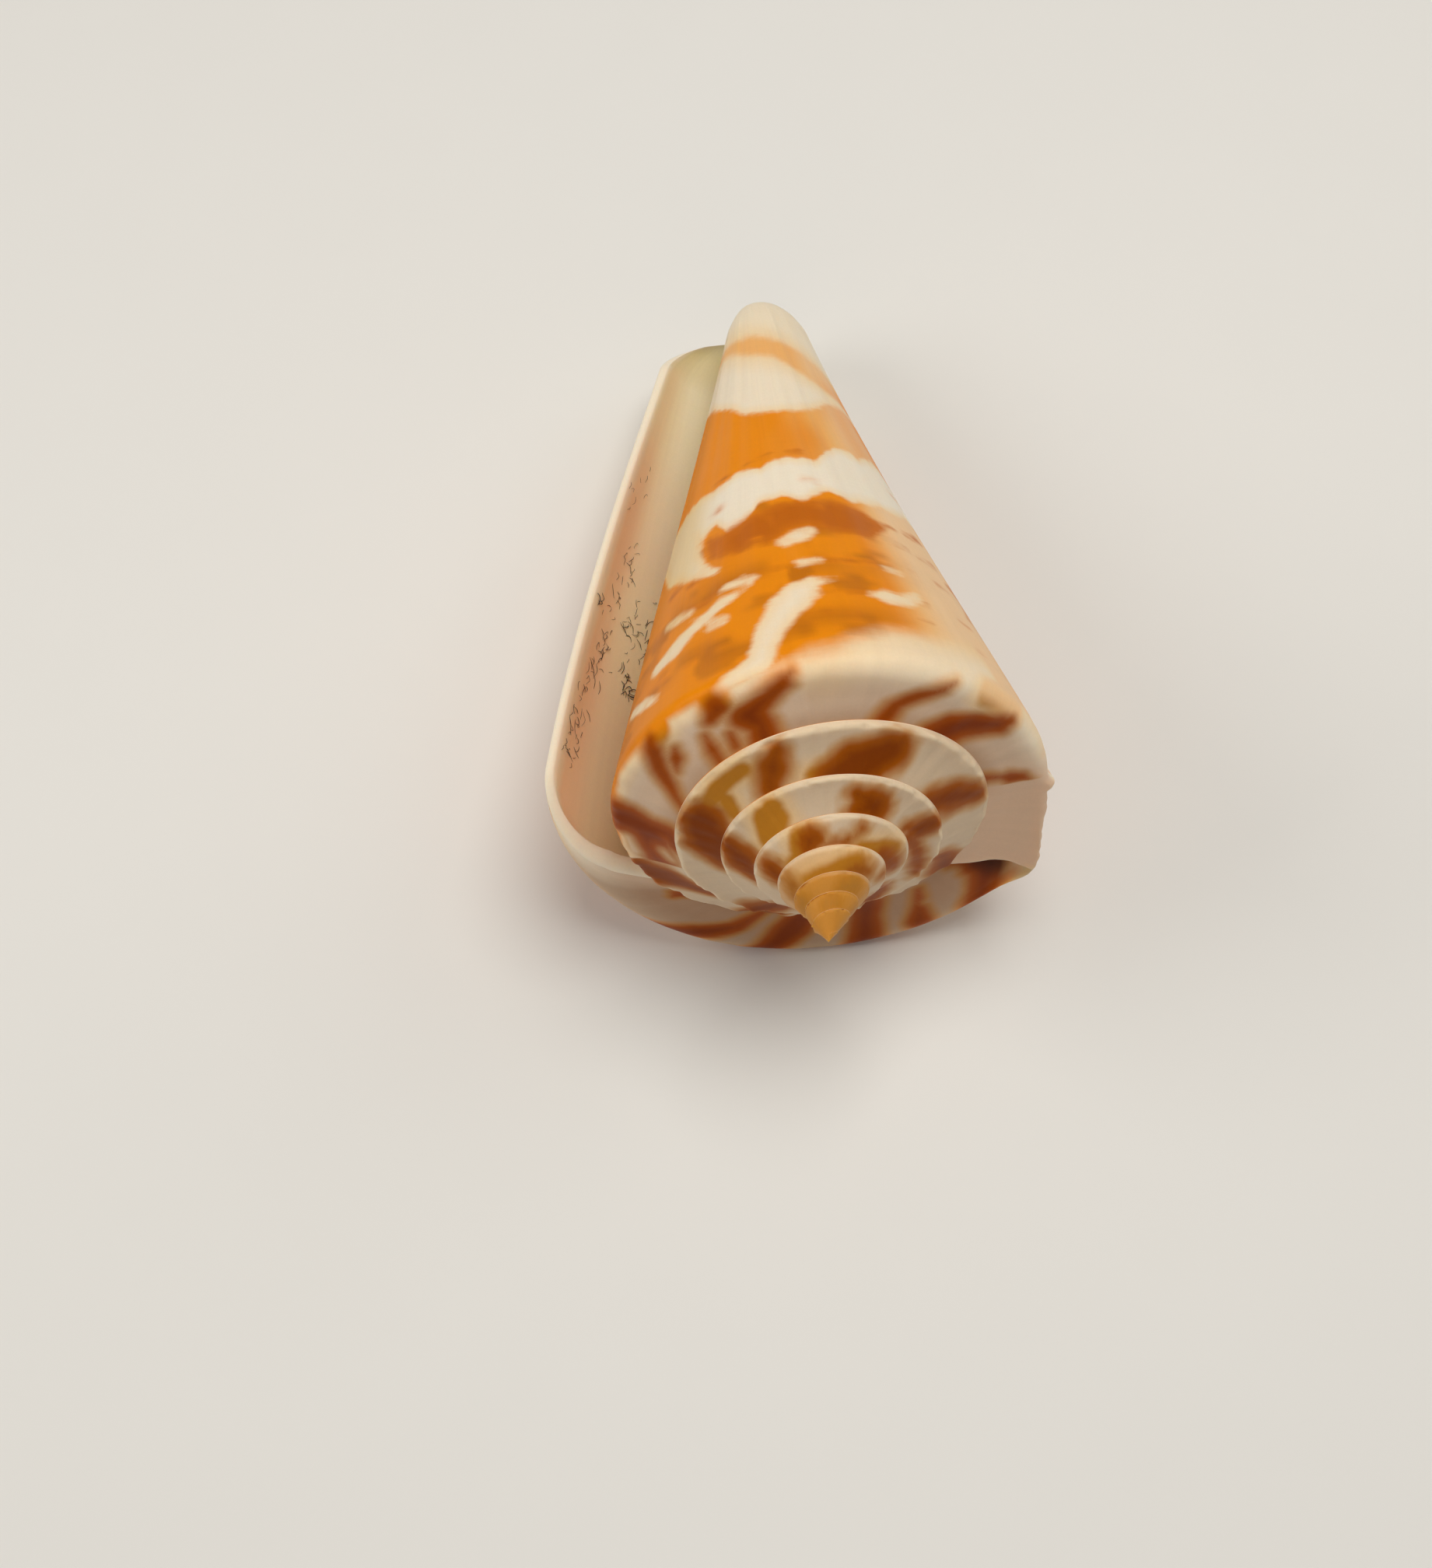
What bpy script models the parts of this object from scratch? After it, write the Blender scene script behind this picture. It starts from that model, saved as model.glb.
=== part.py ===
"""A carioca cone shell, one grown piece, lying on its back with its mouth up and its point away.

The shell is a spiral of whorls around one axis. It is worked out in the shell's own frame: the apex is the
origin and the axis is Z, with the point of the shell at negative Z. The turn parameter u counts whole turns
back from the outer end of the suture towards the apex, and the profile parameter v runs over one whorl:
0 to 1 along the ramp from the suture, 1 to 2 around the shoulder, 2 to 3 down the side, 3 to 4 over the point.
The finished mesh is then turned into the pose in which it lies, +Z up, on a small flat spot of its own side.
"""
import math

import bmesh
import bpy
import numpy as np
from mathutils import Matrix, Vector

MM = 0.001

# Driving dimensions, in millimetres and turns.
WHORL_GROWTH = 1.435        # each spire whorl is this many times as wide as the one above it
SHOULDER_RADIUS = 10.2      # shoulder radius one whole turn back from the end of the suture
BODY_LENGTH = 36.3          # from the shoulder to the point, along the axis
TIP_RADIUS = 1.0            # radius that the straight side would have at the point, one turn back
SIDE_BOW = (0.106, -0.089)  # how far the side bows from a straight cone, evenly and towards one end
LIP_BULGE = 0.65            # extra bow of the side just behind the lip
TIP_BEND = 0.7              # the point leans this far to the right of the axis
APEX_BEND = 0.4             # the first whorls lean this far to the left of it
SPIRE_WHORLS = 9            # turns from the lip back to the first whorl
LIP_ANGLE = math.radians(196.5)  # where the suture ends, around the axis

# The shoulder's depth below the apex, one turn apart, from one turn back to the first whorl.
SPIRE_DEPTH = (8.35, 6.15, 5.28, 4.2, 3.33, 2.38, 1.74, 0.95, 0.0)

# The last whorl: turns back from the end of the suture, shoulder radius, its depth below the apex, how softly
# the shoulder is rounded, and the side's radius at the point. The step near 0.4 is an old break that grew on.
LAST_WHORL = (
    (-0.06, 13.9, 10.0, 2.7, 4.7),
    (0.05, 14.4, 9.1, 2.0, 5.1),
    (0.15, 14.4, 8.3, 1.5, 4.9),
    (0.25, 14.3, 8.1, 1.2, 4.5),
    (0.33, 13.8, 7.9, 0.9, 4.0),
    (0.37, 13.5, 7.7, 0.4, 3.5),
    (0.41, 12.4, 7.8, 0.6, 3.0),
    (0.50, 11.8, 7.9, 1.1, 2.6),
    (0.65, 11.3, 7.9, 1.2, 2.0),
    (0.82, 10.7, 8.1, 1.0, 1.5),
    (1.00, 10.2, 8.35, 0.6, 1.0),
)
SPIRE_ROUNDING = 0.045      # shoulder rounding on the spire, as a share of the whorl's radius
RAMP_SAG = 0.05             # how hollow the ramp is, as a share of its width

# The mouth and the lip.
MOUTH_DEPTH = 30 / 36       # turns that the hollow goes in behind the lip
WALL = 1.05                 # wall thickness inside
LIP_EDGE = 0.5              # wall thickness at the lip's edge
INNER_START = 2.03          # profile parameter where the hollow's roof meets the older whorl
LIP_ADVANCE = 0.05          # turns by which the lip runs ahead of its end at the suture
POINT_END = 0.93            # share of the side's length where the point starts to close
LIP_END = 0.9               # the same at the lip, which ends short of the point
POINT_DOME = 2.9            # height of the closed point
RING = 0.25                 # radius of the flat at the very point

# The pose: which side is down, how steeply the side slopes, and how deep the flat spot is.
DOWN_ANGLE = math.radians(267.7)
DOWN_SLOPE = math.radians(15.0)
FLAT_DEPTH = 0.12

STEPS = 36                  # steps in one turn
RAMP = (0.0, 0.35, 0.7, 1.0, 1.5, 2.0)
SEAM = (2.015,)
SIDE = (INNER_START, 2.1, 2.2, 2.32, 2.45, 2.58, 2.71, 2.84, 2.93, 3.0)
POINT = (3.35, 3.7, 4.0)


def through(x, stations):
    """A smooth curve through stations (x, y): a cubic between each two, with the slopes of their neighbours."""
    xs, ys = (np.array(c, dtype=float) for c in zip(*stations))
    slope = np.gradient(ys, xs)
    x = np.clip(np.asarray(x, dtype=float), xs[0], xs[-1])
    i = np.clip(np.searchsorted(xs, x) - 1, 0, len(xs) - 2)
    h = xs[i + 1] - xs[i]
    t = (x - xs[i]) / h
    return (
        (2 * t**3 - 3 * t**2 + 1) * ys[i] + (t**3 - 2 * t**2 + t) * h * slope[i]
        + (3 * t**2 - 2 * t**3) * ys[i + 1] + (t**3 - t**2) * h * slope[i + 1]
    )


def spiral(u):
    """The even spiral's size, g ** (1 - u), one turn back and further, drawn in to nothing at the first whorl."""
    return WHORL_GROWTH ** (1 - np.maximum(u, 1)) * np.clip(SPIRE_WHORLS - u, 0, 1)


def shoulder_radius(u):
    """Radius of the shoulder: stations on the last whorl, an even spiral above it."""
    last = through(u, [(s[0], s[1]) for s in LAST_WHORL])
    return np.where(u < 1, last, SHOULDER_RADIUS * spiral(u))


def tip_radius(u):
    """Radius that the side runs to at the point: wide behind the lip, narrowing with the whorls further back."""
    last = through(u, [(s[0], s[4]) for s in LAST_WHORL])
    return np.where(u < 1, last, TIP_RADIUS * spiral(u))


def shoulder_depth(u):
    """Depth of the shoulder below the apex."""
    last = through(u, [(s[0], s[2]) for s in LAST_WHORL])
    spire = through(u, [(1 + i, d) for i, d in enumerate(SPIRE_DEPTH)])
    return np.where(u < 1, last, spire)


def rounding(u):
    """Length of the shoulder's rounding along the ramp and along the side."""
    last = through(u, [(s[0], s[3]) for s in LAST_WHORL])
    spire = SPIRE_ROUNDING * shoulder_radius(u) + 0.14 * np.exp(-(u - 1) / 0.1)
    return np.where(u < 1, last, spire)


def margin(u):
    """How far the wall's front margin is drawn back from the point: 1 at the lip, 0 where the mouth closes."""
    back = np.sqrt(np.clip(1 - u / MOUTH_DEPTH, 0, 1))
    return back, back * np.exp(-np.maximum(u + LIP_ADVANCE, 0) / 0.08)


def side_point(u, t):
    """The side of the whorl at share t of its length: a cone's straight line, bowed a little."""
    bow = SIDE_BOW[0] * t * (1 - t) + SIDE_BOW[1] * t * (1 - t) * (1 - 2 * t)
    bulge = LIP_BULGE * np.clip((0.5 - u) / 0.5, 0, 1) ** 2 * np.sin(np.pi * np.clip(t, 0, 1))
    r = shoulder_radius(u) + (tip_radius(u) - shoulder_radius(u)) * (t + bow) + bulge
    top = -shoulder_depth(u)
    z = top - t * (top + SPIRE_DEPTH[0] + BODY_LENGTH)
    return r, z


def profile(u, v, inset=0.0, start=2.0):
    """Radius and height of the whorl's profile. inset moves it into the wall, for the hollow's side, and start
    is where on the older whorl it begins."""
    size = rounding(u)
    side_end = POINT_END - (POINT_END - LIP_END) * margin(u)[1]
    tb = size / BODY_LENGTH

    # Where the ramp begins: on the older whorl, just under its shoulder.
    old = rounding(u + 1) / BODY_LENGTH
    sr, sz = side_point(u + 1, old + (POINT_END - old) * (start - 2.0))
    first = u > SPIRE_WHORLS - 1
    sr, sz = np.where(first, 0.0, sr), np.where(first, -SPIRE_DEPTH[-1], sz)

    cr, cz = shoulder_radius(u) - 1.15 * inset, -shoulder_depth(u) - inset
    dr, dz = cr - sr, cz - sz
    width = np.maximum(np.hypot(dr, dz), 1e-6)
    share = np.clip(1 - size / width, 0.3, 1)
    w = np.clip(v, 0, 1) * share
    ramp = (sr + dr * w, sz + dz * w - RAMP_SAG * width * 4 * w * (1 - w))

    # The shoulder: a cubic curve that leaves the ramp and meets the side in their own directions.
    ar, az = sr + dr * share, sz + dz * share - RAMP_SAG * width * 4 * share * (1 - share)
    tr, tz = dr, dz - RAMP_SAG * width * 4 * (1 - 2 * share)
    tn = np.maximum(np.hypot(tr, tz), 1e-6)
    br, bz = side_point(u, tb)
    er, ez = side_point(u, tb + 0.01)
    en = np.hypot(er - br, ez - bz)
    p1 = (ar + 0.6 * size * tr / tn, az + 0.6 * size * tz / tn)
    br = br - inset
    p2 = (br - 0.6 * size * (er - br - inset) / en, bz - 0.6 * size * (ez - bz) / en)
    w = np.clip(v - 1, 0, 1)
    shoulder = tuple(
        (1 - w) ** 3 * a + 3 * w * (1 - w) ** 2 * b + 3 * w**2 * (1 - w) * c + w**3 * d
        for a, b, c, d in zip((ar, az), p1, p2, (br, bz))
    )

    w = np.clip(v - 2, 0, 1)
    side = side_point(u, tb + (side_end - tb) * w)
    side = (side[0] - inset, side[1])

    # The point: a quarter of an ellipse, from the side's end towards the axis or to the drawn-back margin.
    back, notch = margin(u)
    er, ez = side_point(u, side_end)
    gap = (0.5 * back + 0.4 * notch) * (er - RING - 0.6)
    fr = RING + gap - inset * gap / (gap + 2 * inset + 1e-9)
    closed = -SPIRE_DEPTH[0] - BODY_LENGTH * POINT_END - POINT_DOME
    fz = closed + (ez - 0.4 * POINT_DOME - closed) * notch
    w = np.clip(v - 3, 0, 1) * np.pi / 2
    lean = (SHOULDER_RADIUS - TIP_RADIUS) / BODY_LENGTH * (ez - fz)
    point = (
        fr + (er - inset - fr) * np.cos(w) - lean * np.sin(w) * (1 - w / (np.pi / 2)),
        ez + (fz - ez) * np.sin(w),
    )
    pick = [v <= 1, v <= 2, v <= 3]
    return (
        np.select(pick, [ramp[0], shoulder[0], side[0]], point[0]),
        np.select(pick, [ramp[1], shoulder[1], side[1]], point[1]),
    )


def swept(u, r, z):
    """Turns radius and height at turn u into x, y, z, with the slight lean of the point."""
    angle = LIP_ANGLE + 2 * np.pi * u
    lean = TIP_BEND * np.clip((-z - SPIRE_DEPTH[0]) / BODY_LENGTH, 0, 1.1) ** 2
    lean = lean - APEX_BEND * np.clip(1 + z / 4, 0, 1) ** 2
    return np.stack([r * np.cos(angle) + lean, r * np.sin(angle), z], axis=-1)


def lip_turn(u, v):
    """The turn at which a point near the lip lies: the lip runs ahead of its own end at the suture, and its
    front corner is rounded back."""
    ahead = np.sin(np.clip(v / 2, 0, 1) * np.pi / 2) - 1.3 * np.clip((v - 2.75) / 1.25, 0, 1) ** 2
    return u - LIP_ADVANCE * ahead * np.clip(1 - u / 0.3, 0, 1) ** 2


def outer(u, v):
    """The outside of the shell."""
    u, v = np.broadcast_arrays(np.asarray(u, dtype=float), np.asarray(v, dtype=float))
    at = lip_turn(u, v)
    return swept(at, *profile(at, v))


def inner(u, v):
    """The inside of the mouth: the outside moved in by the wall, closing onto the older whorl as it goes in."""
    u, v = np.broadcast_arrays(np.asarray(u, dtype=float), np.asarray(v, dtype=float))
    at = lip_turn(u, v)
    wall = LIP_EDGE + (WALL - LIP_EDGE) * (1 - np.exp(-u / 0.06))
    old_r, old_z = profile(at + 1, np.maximum(v, INNER_START))
    new_r, new_z = profile(at, v, inset=wall, start=INNER_START)
    thinnest = old_r + 0.35 * (profile(at, v)[0] - old_r)
    old = swept(at, old_r, old_z)
    new = swept(at, np.where(v > 2, np.maximum(new_r, thinnest), new_r), new_z)
    opened = (1 - (u / MOUTH_DEPTH) ** 6)[..., None]
    seam = (v <= 0)[..., None]
    return np.where(seam, old, old + (new - old) * opened)


def add_grid(mesh, points, flip=False):
    """Adds a grid of points as faces. Points that fall together are merged later."""
    rows, columns = points.shape[:2]
    verts = [[mesh.verts.new(Vector(points[i, j]) * MM) for j in range(columns)] for i in range(rows)]
    for i in range(rows - 1):
        for j in range(columns - 1):
            corners = [verts[i][j], verts[i + 1][j], verts[i + 1][j + 1], verts[i][j + 1]]
            mesh.faces.new(corners[::-1] if flip else corners)


def shell_mesh():
    """One closed skin: the spire, the last whorl, the mouth's two sides, the lip's edge and the point."""
    mouth_rows = round(MOUTH_DEPTH * STEPS)
    all_columns = np.array(RAMP + SEAM + SIDE + POINT)
    low_columns = np.array(SIDE + POINT)
    turn = np.arange(STEPS + 1) / STEPS
    deep = turn[: mouth_rows + 1]
    spire = 1 + np.arange((SPIRE_WHORLS - 1) * STEPS + 1) / STEPS

    mesh = bmesh.new()
    add_grid(mesh, outer(turn[:, None], all_columns[None, :]))
    add_grid(mesh, outer(spire[:, None], np.array(RAMP)[None, :]))
    add_grid(mesh, outer(1 + deep[:, None], low_columns[None, :]))
    hollow = inner(deep[:, None], all_columns[None, :])
    add_grid(mesh, hollow, flip=True)

    # The lip's edge, rounded between the outside and the inside.
    out_rail, in_rail = outer(0.0, all_columns), hollow[0]
    ends = np.sin(np.linspace(0, np.pi, len(all_columns)))[:, None] ** 0.5
    across = np.array([math.sin(LIP_ANGLE), -math.cos(LIP_ANGLE), 0.0])
    middle = (out_rail + in_rail) / 2 + 0.15 * ends * across
    middle[0] = outer(1.0, SEAM[0])
    add_grid(mesh, np.stack([out_rail, middle, in_rail]))

    # The wall's front margin, from the lip in to where the mouth closes at the point.
    out_rail, in_rail = outer(deep, 4.0), hollow[:, -1]
    ends = np.sin(np.linspace(0, np.pi, len(deep)))[:, None] ** 0.5
    gap = np.linalg.norm(out_rail - in_rail, axis=1)[:, None]
    middle_front = (out_rail + in_rail) / 2 - np.array([0.0, 0.0, 0.25]) * ends * gap
    middle_front[0] = middle[-1]
    add_grid(mesh, np.stack([out_rail, middle_front, in_rail], axis=1))

    # The flat at the very point.
    ring = outer(MOUTH_DEPTH + turn[:-1], 4.0)
    mesh.faces.new([mesh.verts.new(Vector(p) * MM) for p in ring])

    bmesh.ops.remove_doubles(mesh, verts=mesh.verts[:], dist=2e-6)
    bmesh.ops.triangulate(mesh, faces=mesh.faces[:])
    bmesh.ops.recalc_face_normals(mesh, faces=mesh.faces[:])
    return mesh


def lying_pose():
    """Turns the shell so that its chosen side is down: the side's line on the ground, the apex towards -Y."""
    out = Vector((math.cos(DOWN_ANGLE), math.sin(DOWN_ANGLE), 0.0))
    round_ = Vector((-math.sin(DOWN_ANGLE), math.cos(DOWN_ANGLE), 0.0))
    axis = Vector((0.0, 0.0, 1.0))
    c, s = math.cos(DOWN_SLOPE), math.sin(DOWN_SLOPE)
    shell = Matrix((out, round_, axis))
    world = Matrix(((0.0, -s, -c), (1.0, 0.0, 0.0), (0.0, -c, s))).transposed()
    return (world @ shell).to_4x4()


def flatten_underside(mesh):
    """Cuts the small flat spot that the shell rests on, and puts it at height 0, centred on the origin."""
    low = min(v.co.z for v in mesh.verts)
    cut = bmesh.ops.bisect_plane(
        mesh, geom=mesh.verts[:] + mesh.edges[:] + mesh.faces[:], dist=1e-7,
        plane_co=(0, 0, low + FLAT_DEPTH * MM), plane_no=(0, 0, -1), clear_outer=True,
    )
    edges = [e for e in cut["geom_cut"] if isinstance(e, bmesh.types.BMEdge)]
    bmesh.ops.holes_fill(mesh, edges=edges)
    bmesh.ops.triangulate(mesh, faces=mesh.faces[:])
    bmesh.ops.recalc_face_normals(mesh, faces=mesh.faces[:])
    low = min(v.co.z for v in mesh.verts)
    xs = [v.co.x for v in mesh.verts]
    ys = [v.co.y for v in mesh.verts]
    middle = Vector(((min(xs) + max(xs)) / 2, (min(ys) + max(ys)) / 2, low))
    bmesh.ops.translate(mesh, vec=-middle, verts=mesh.verts[:])
    return middle


def shell_material():
    material = bpy.data.materials.new("glossy_aragonite")
    material.use_nodes = True
    shader = material.node_tree.nodes["Principled BSDF"]
    shader.inputs["Base Color"].default_value = (0.78, 0.42, 0.16, 1.0)
    shader.inputs["Roughness"].default_value = 0.32
    shader.inputs["Metallic"].default_value = 0.0
    return material


def main():
    for old in list(bpy.data.objects):
        bpy.data.objects.remove(old, do_unlink=True)
    collection = bpy.data.collections.new("carioca_cone_shell")
    bpy.context.scene.collection.children.link(collection)

    mesh = shell_mesh()
    bmesh.ops.transform(mesh, matrix=lying_pose(), verts=mesh.verts[:])
    middle = flatten_underside(mesh)
    print("apex at", [round(c, 5) for c in -middle])

    data = bpy.data.meshes.new("shell")
    mesh.to_mesh(data)
    mesh.free()
    data.shade_smooth()
    data.set_sharp_from_angle(angle=math.radians(50))
    data.materials.append(shell_material())
    shell = bpy.data.objects.new("shell", data)
    collection.objects.link(shell)
    print("triangles", len(data.polygons))


main()
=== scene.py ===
import math

import bmesh
import bpy
import numpy as np
from mathutils import Matrix, Vector


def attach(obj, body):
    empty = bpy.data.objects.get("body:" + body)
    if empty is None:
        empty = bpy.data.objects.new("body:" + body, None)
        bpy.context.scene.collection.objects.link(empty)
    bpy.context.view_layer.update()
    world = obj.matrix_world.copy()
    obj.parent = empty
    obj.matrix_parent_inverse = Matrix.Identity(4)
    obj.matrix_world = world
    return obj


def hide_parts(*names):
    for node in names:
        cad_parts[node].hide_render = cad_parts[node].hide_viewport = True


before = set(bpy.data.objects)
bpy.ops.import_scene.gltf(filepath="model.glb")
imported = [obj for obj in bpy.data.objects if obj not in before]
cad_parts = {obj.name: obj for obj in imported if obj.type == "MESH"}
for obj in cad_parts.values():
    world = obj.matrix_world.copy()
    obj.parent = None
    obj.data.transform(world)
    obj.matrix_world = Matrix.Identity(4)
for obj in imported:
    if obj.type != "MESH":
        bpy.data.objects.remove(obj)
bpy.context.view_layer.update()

mm = 0.001
pi = math.pi


def linearColour(code):
    # an sRGB hex colour as linear red, green and blue
    channels = [int(code[i:i + 2], 16) / 255 for i in (1, 3, 5)]
    return [c / 12.92 if c <= 0.04045 else ((c + 0.055) / 1.055) ** 2.4 for c in channels]


# The shell's growth, in millimetres and whole turns back from the outer end of the suture. The same sizes
# shape the solid. Along the profile, 0 to 1 is the ramp, 1 to 2 the shoulder, 2 to 3 the side and 3 to 4 the
# point.
shellForm = {
    "whorlGrowth": 1.435,
    "shoulderRadius": 10.2,
    "bodyLength": 36.3,
    "tipRadius": 1.0,
    "sideBow": (0.106, -0.089),
    "lipBulge": 0.65,
    "tipBend": 0.7,
    "apexBend": 0.4,
    "spireWhorls": 9,
    "lipAngle": math.radians(196.5),
    "spireDepth": (8.35, 6.15, 5.28, 4.2, 3.33, 2.38, 1.74, 0.95, 0.0),
    # turn, shoulder radius, depth below the apex, softness of the shoulder, radius at the point
    "lastWhorl": (
        (-0.06, 13.9, 10.0, 2.7, 4.7),
        (0.05, 14.4, 9.1, 2.0, 5.1),
        (0.15, 14.4, 8.3, 1.5, 4.9),
        (0.25, 14.3, 8.1, 1.2, 4.5),
        (0.33, 13.8, 7.9, 0.9, 4.0),
        (0.37, 13.5, 7.7, 0.4, 3.5),
        (0.41, 12.4, 7.8, 0.6, 3.0),
        (0.50, 11.8, 7.9, 1.1, 2.6),
        (0.65, 11.3, 7.9, 1.2, 2.0),
        (0.82, 10.7, 8.1, 1.0, 1.5),
        (1.00, 10.2, 8.35, 0.6, 1.0),
    ),
    "spireRounding": 0.045,
    "rampSag": 0.05,
    "mouthDepth": 30 / 36,
    "wall": 1.05,
    "lipEdge": 0.5,
    "innerStart": 2.03,
    "lipAdvance": 0.05,
    "pointEnd": 0.93,
    "lipEnd": 0.9,
    "pointDome": 2.9,
    "ring": 0.25,
    "downAngle": math.radians(267.7),  # the side that is down
    "downSlope": math.radians(15.0),
    "apexPlace": (0.69, -21.83, 15.98),  # where the apex is once the shell lies down
}

# Relief that only the finished skin has, in millimetres.
shellRelief = {
    "growthSwell": 0.045,      # slow swellings along the growth lines of the side
    "rampSwell": 0.05,
    "crenulation": 0.15,       # the beaded pale edge of the spire's shoulders
    "breakRow": 128,           # the row of the skin along which the old break's free edge lies
    "breakHook": 0.028,        # turns by which that edge reaches further beside the suture
    "breakDrop": 0.85,         # how much lower the shell that grew on begins
    "breakCorner": 0.36,       # how far the old lip's corner stands out
    "breakDip": 0.30,          # the hollow just behind the corner
    "breakScallop": 0.15,
    "breakTooth": 0.34,
    "breakFade": 0.03,         # turns over which the drop fades on either side of the edge
    "cornerAt": (0.350, 0.012),  # turn and half width in turns, as in the next four
    "dipAt": (0.389, 0.017),
    "toothAt": (0.444, 0.0045),
    "underAt": (0.335, 0.03),  # where the inside of the wall is lowered under the break
    "bendWidth": 0.035,        # half width of the rows that bend to follow the edge
    "underShare": 1.5,         # how far it is lowered, as a share of breakDrop
    "lipRound": 0.15,
    "lipRoundBack": 0.40,      # more of it beside the suture, where the lip is thick
    "lipRetreat": 1.15,        # as a share of the lip's advance
    "earlyBeads": 0.07,        # notches on the small first whorls
    "earlySwell": 0.055,       # how far their ramps bulge, as a share of the radius
}

# Steps of the skin: rows are angles, columns are places along the profile.
shellSteps = {
    "rows": 360,
    "coarseRows": 120,
    "ramp": 20,
    "shoulder": 14,
    "seam": 6,
    "side": 66,
    "point": 14,
}


def through(x, places, values):
    # a smooth curve through given values: a cubic between each two, its slopes taken from the neighbours
    xs, ys = np.array(places, dtype=float), np.array(values, dtype=float)
    slope = np.gradient(ys, xs)
    x = np.clip(x, xs[0], xs[-1])
    i = np.clip(np.searchsorted(xs, x) - 1, 0, len(xs) - 2)
    h = xs[i + 1] - xs[i]
    t = (x - xs[i]) / h
    return (
        (2 * t**3 - 3 * t**2 + 1) * ys[i] + (t**3 - 2 * t**2 + t) * h * slope[i]
        + (3 * t**2 - 2 * t**3) * ys[i + 1] + (t**3 - t**2) * h * slope[i + 1]
    )


def between(x, low, high):
    # 0 below low, 1 above high, and an even S between them
    t = np.clip((x - low) / (high - low), 0, 1)
    return t * t * (3 - 2 * t)


def hump(x, place, width):
    # a bell curve: 1 at place, a third of that one width away
    return np.exp(-(((x - place) / width) ** 2))


def wander(x, y, seed):
    # even random values from -1 to 1 on whole numbers, blended smoothly between them
    table = np.random.default_rng(seed).uniform(-1, 1, (128, 128))
    x, y = np.broadcast_arrays(np.asarray(x, dtype=float), np.asarray(y, dtype=float))
    xi, yi = np.floor(x).astype(int), np.floor(y).astype(int)
    xf, yf = between(x - xi, 0, 1), between(y - yi, 0, 1)
    near = table[xi % 128, yi % 128] * (1 - xf) + table[(xi + 1) % 128, yi % 128] * xf
    far = table[xi % 128, (yi + 1) % 128] * (1 - xf) + table[(xi + 1) % 128, (yi + 1) % 128] * xf
    return near * (1 - yf) + far * yf


def lastWhorlColumn(u, column):
    stations = shellForm["lastWhorl"]
    return through(u, [s[0] for s in stations], [s[column] for s in stations])


def spiralSize(u):
    # growth to the power 1 - u, one turn back and further, drawn in to nothing at the first whorl
    return shellForm["whorlGrowth"] ** (1 - np.maximum(u, 1)) * np.clip(shellForm["spireWhorls"] - u, 0, 1)


def shoulderRadius(u):
    return np.where(u < 1, lastWhorlColumn(u, 1), shellForm["shoulderRadius"] * spiralSize(u))


def tipRadius(u):
    return np.where(u < 1, lastWhorlColumn(u, 4), shellForm["tipRadius"] * spiralSize(u))


def shoulderDepth(u):
    depths = shellForm["spireDepth"]
    return np.where(u < 1, lastWhorlColumn(u, 2), through(u, 1 + np.arange(len(depths)), depths))


def shoulderSoftness(u):
    spire = shellForm["spireRounding"] * shoulderRadius(u) + 0.14 * np.exp(-(u - 1) / 0.1)
    return np.where(u < 1, lastWhorlColumn(u, 3), spire)


def frontMargin(u):
    # how far the wall is drawn back from the point: 1 at the lip, 0 where the mouth closes
    back = np.sqrt(np.clip(1 - u / shellForm["mouthDepth"], 0, 1))
    return back, back * np.exp(-np.maximum(u + shellForm["lipAdvance"], 0) / 0.08)


def sidePoint(u, t):
    # the side at share t of its length: radius runs straight to the tip's, plus a bow; height falls evenly
    even, skew = shellForm["sideBow"]
    bow = even * t * (1 - t) + skew * t * (1 - t) * (1 - 2 * t)
    bulge = shellForm["lipBulge"] * np.clip((0.5 - u) / 0.5, 0, 1) ** 2 * np.sin(pi * np.clip(t, 0, 1))
    r = shoulderRadius(u) + (tipRadius(u) - shoulderRadius(u)) * (t + bow) + bulge
    top = -shoulderDepth(u)
    return r, top - t * (top + shellForm["spireDepth"][0] + shellForm["bodyLength"])


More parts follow.
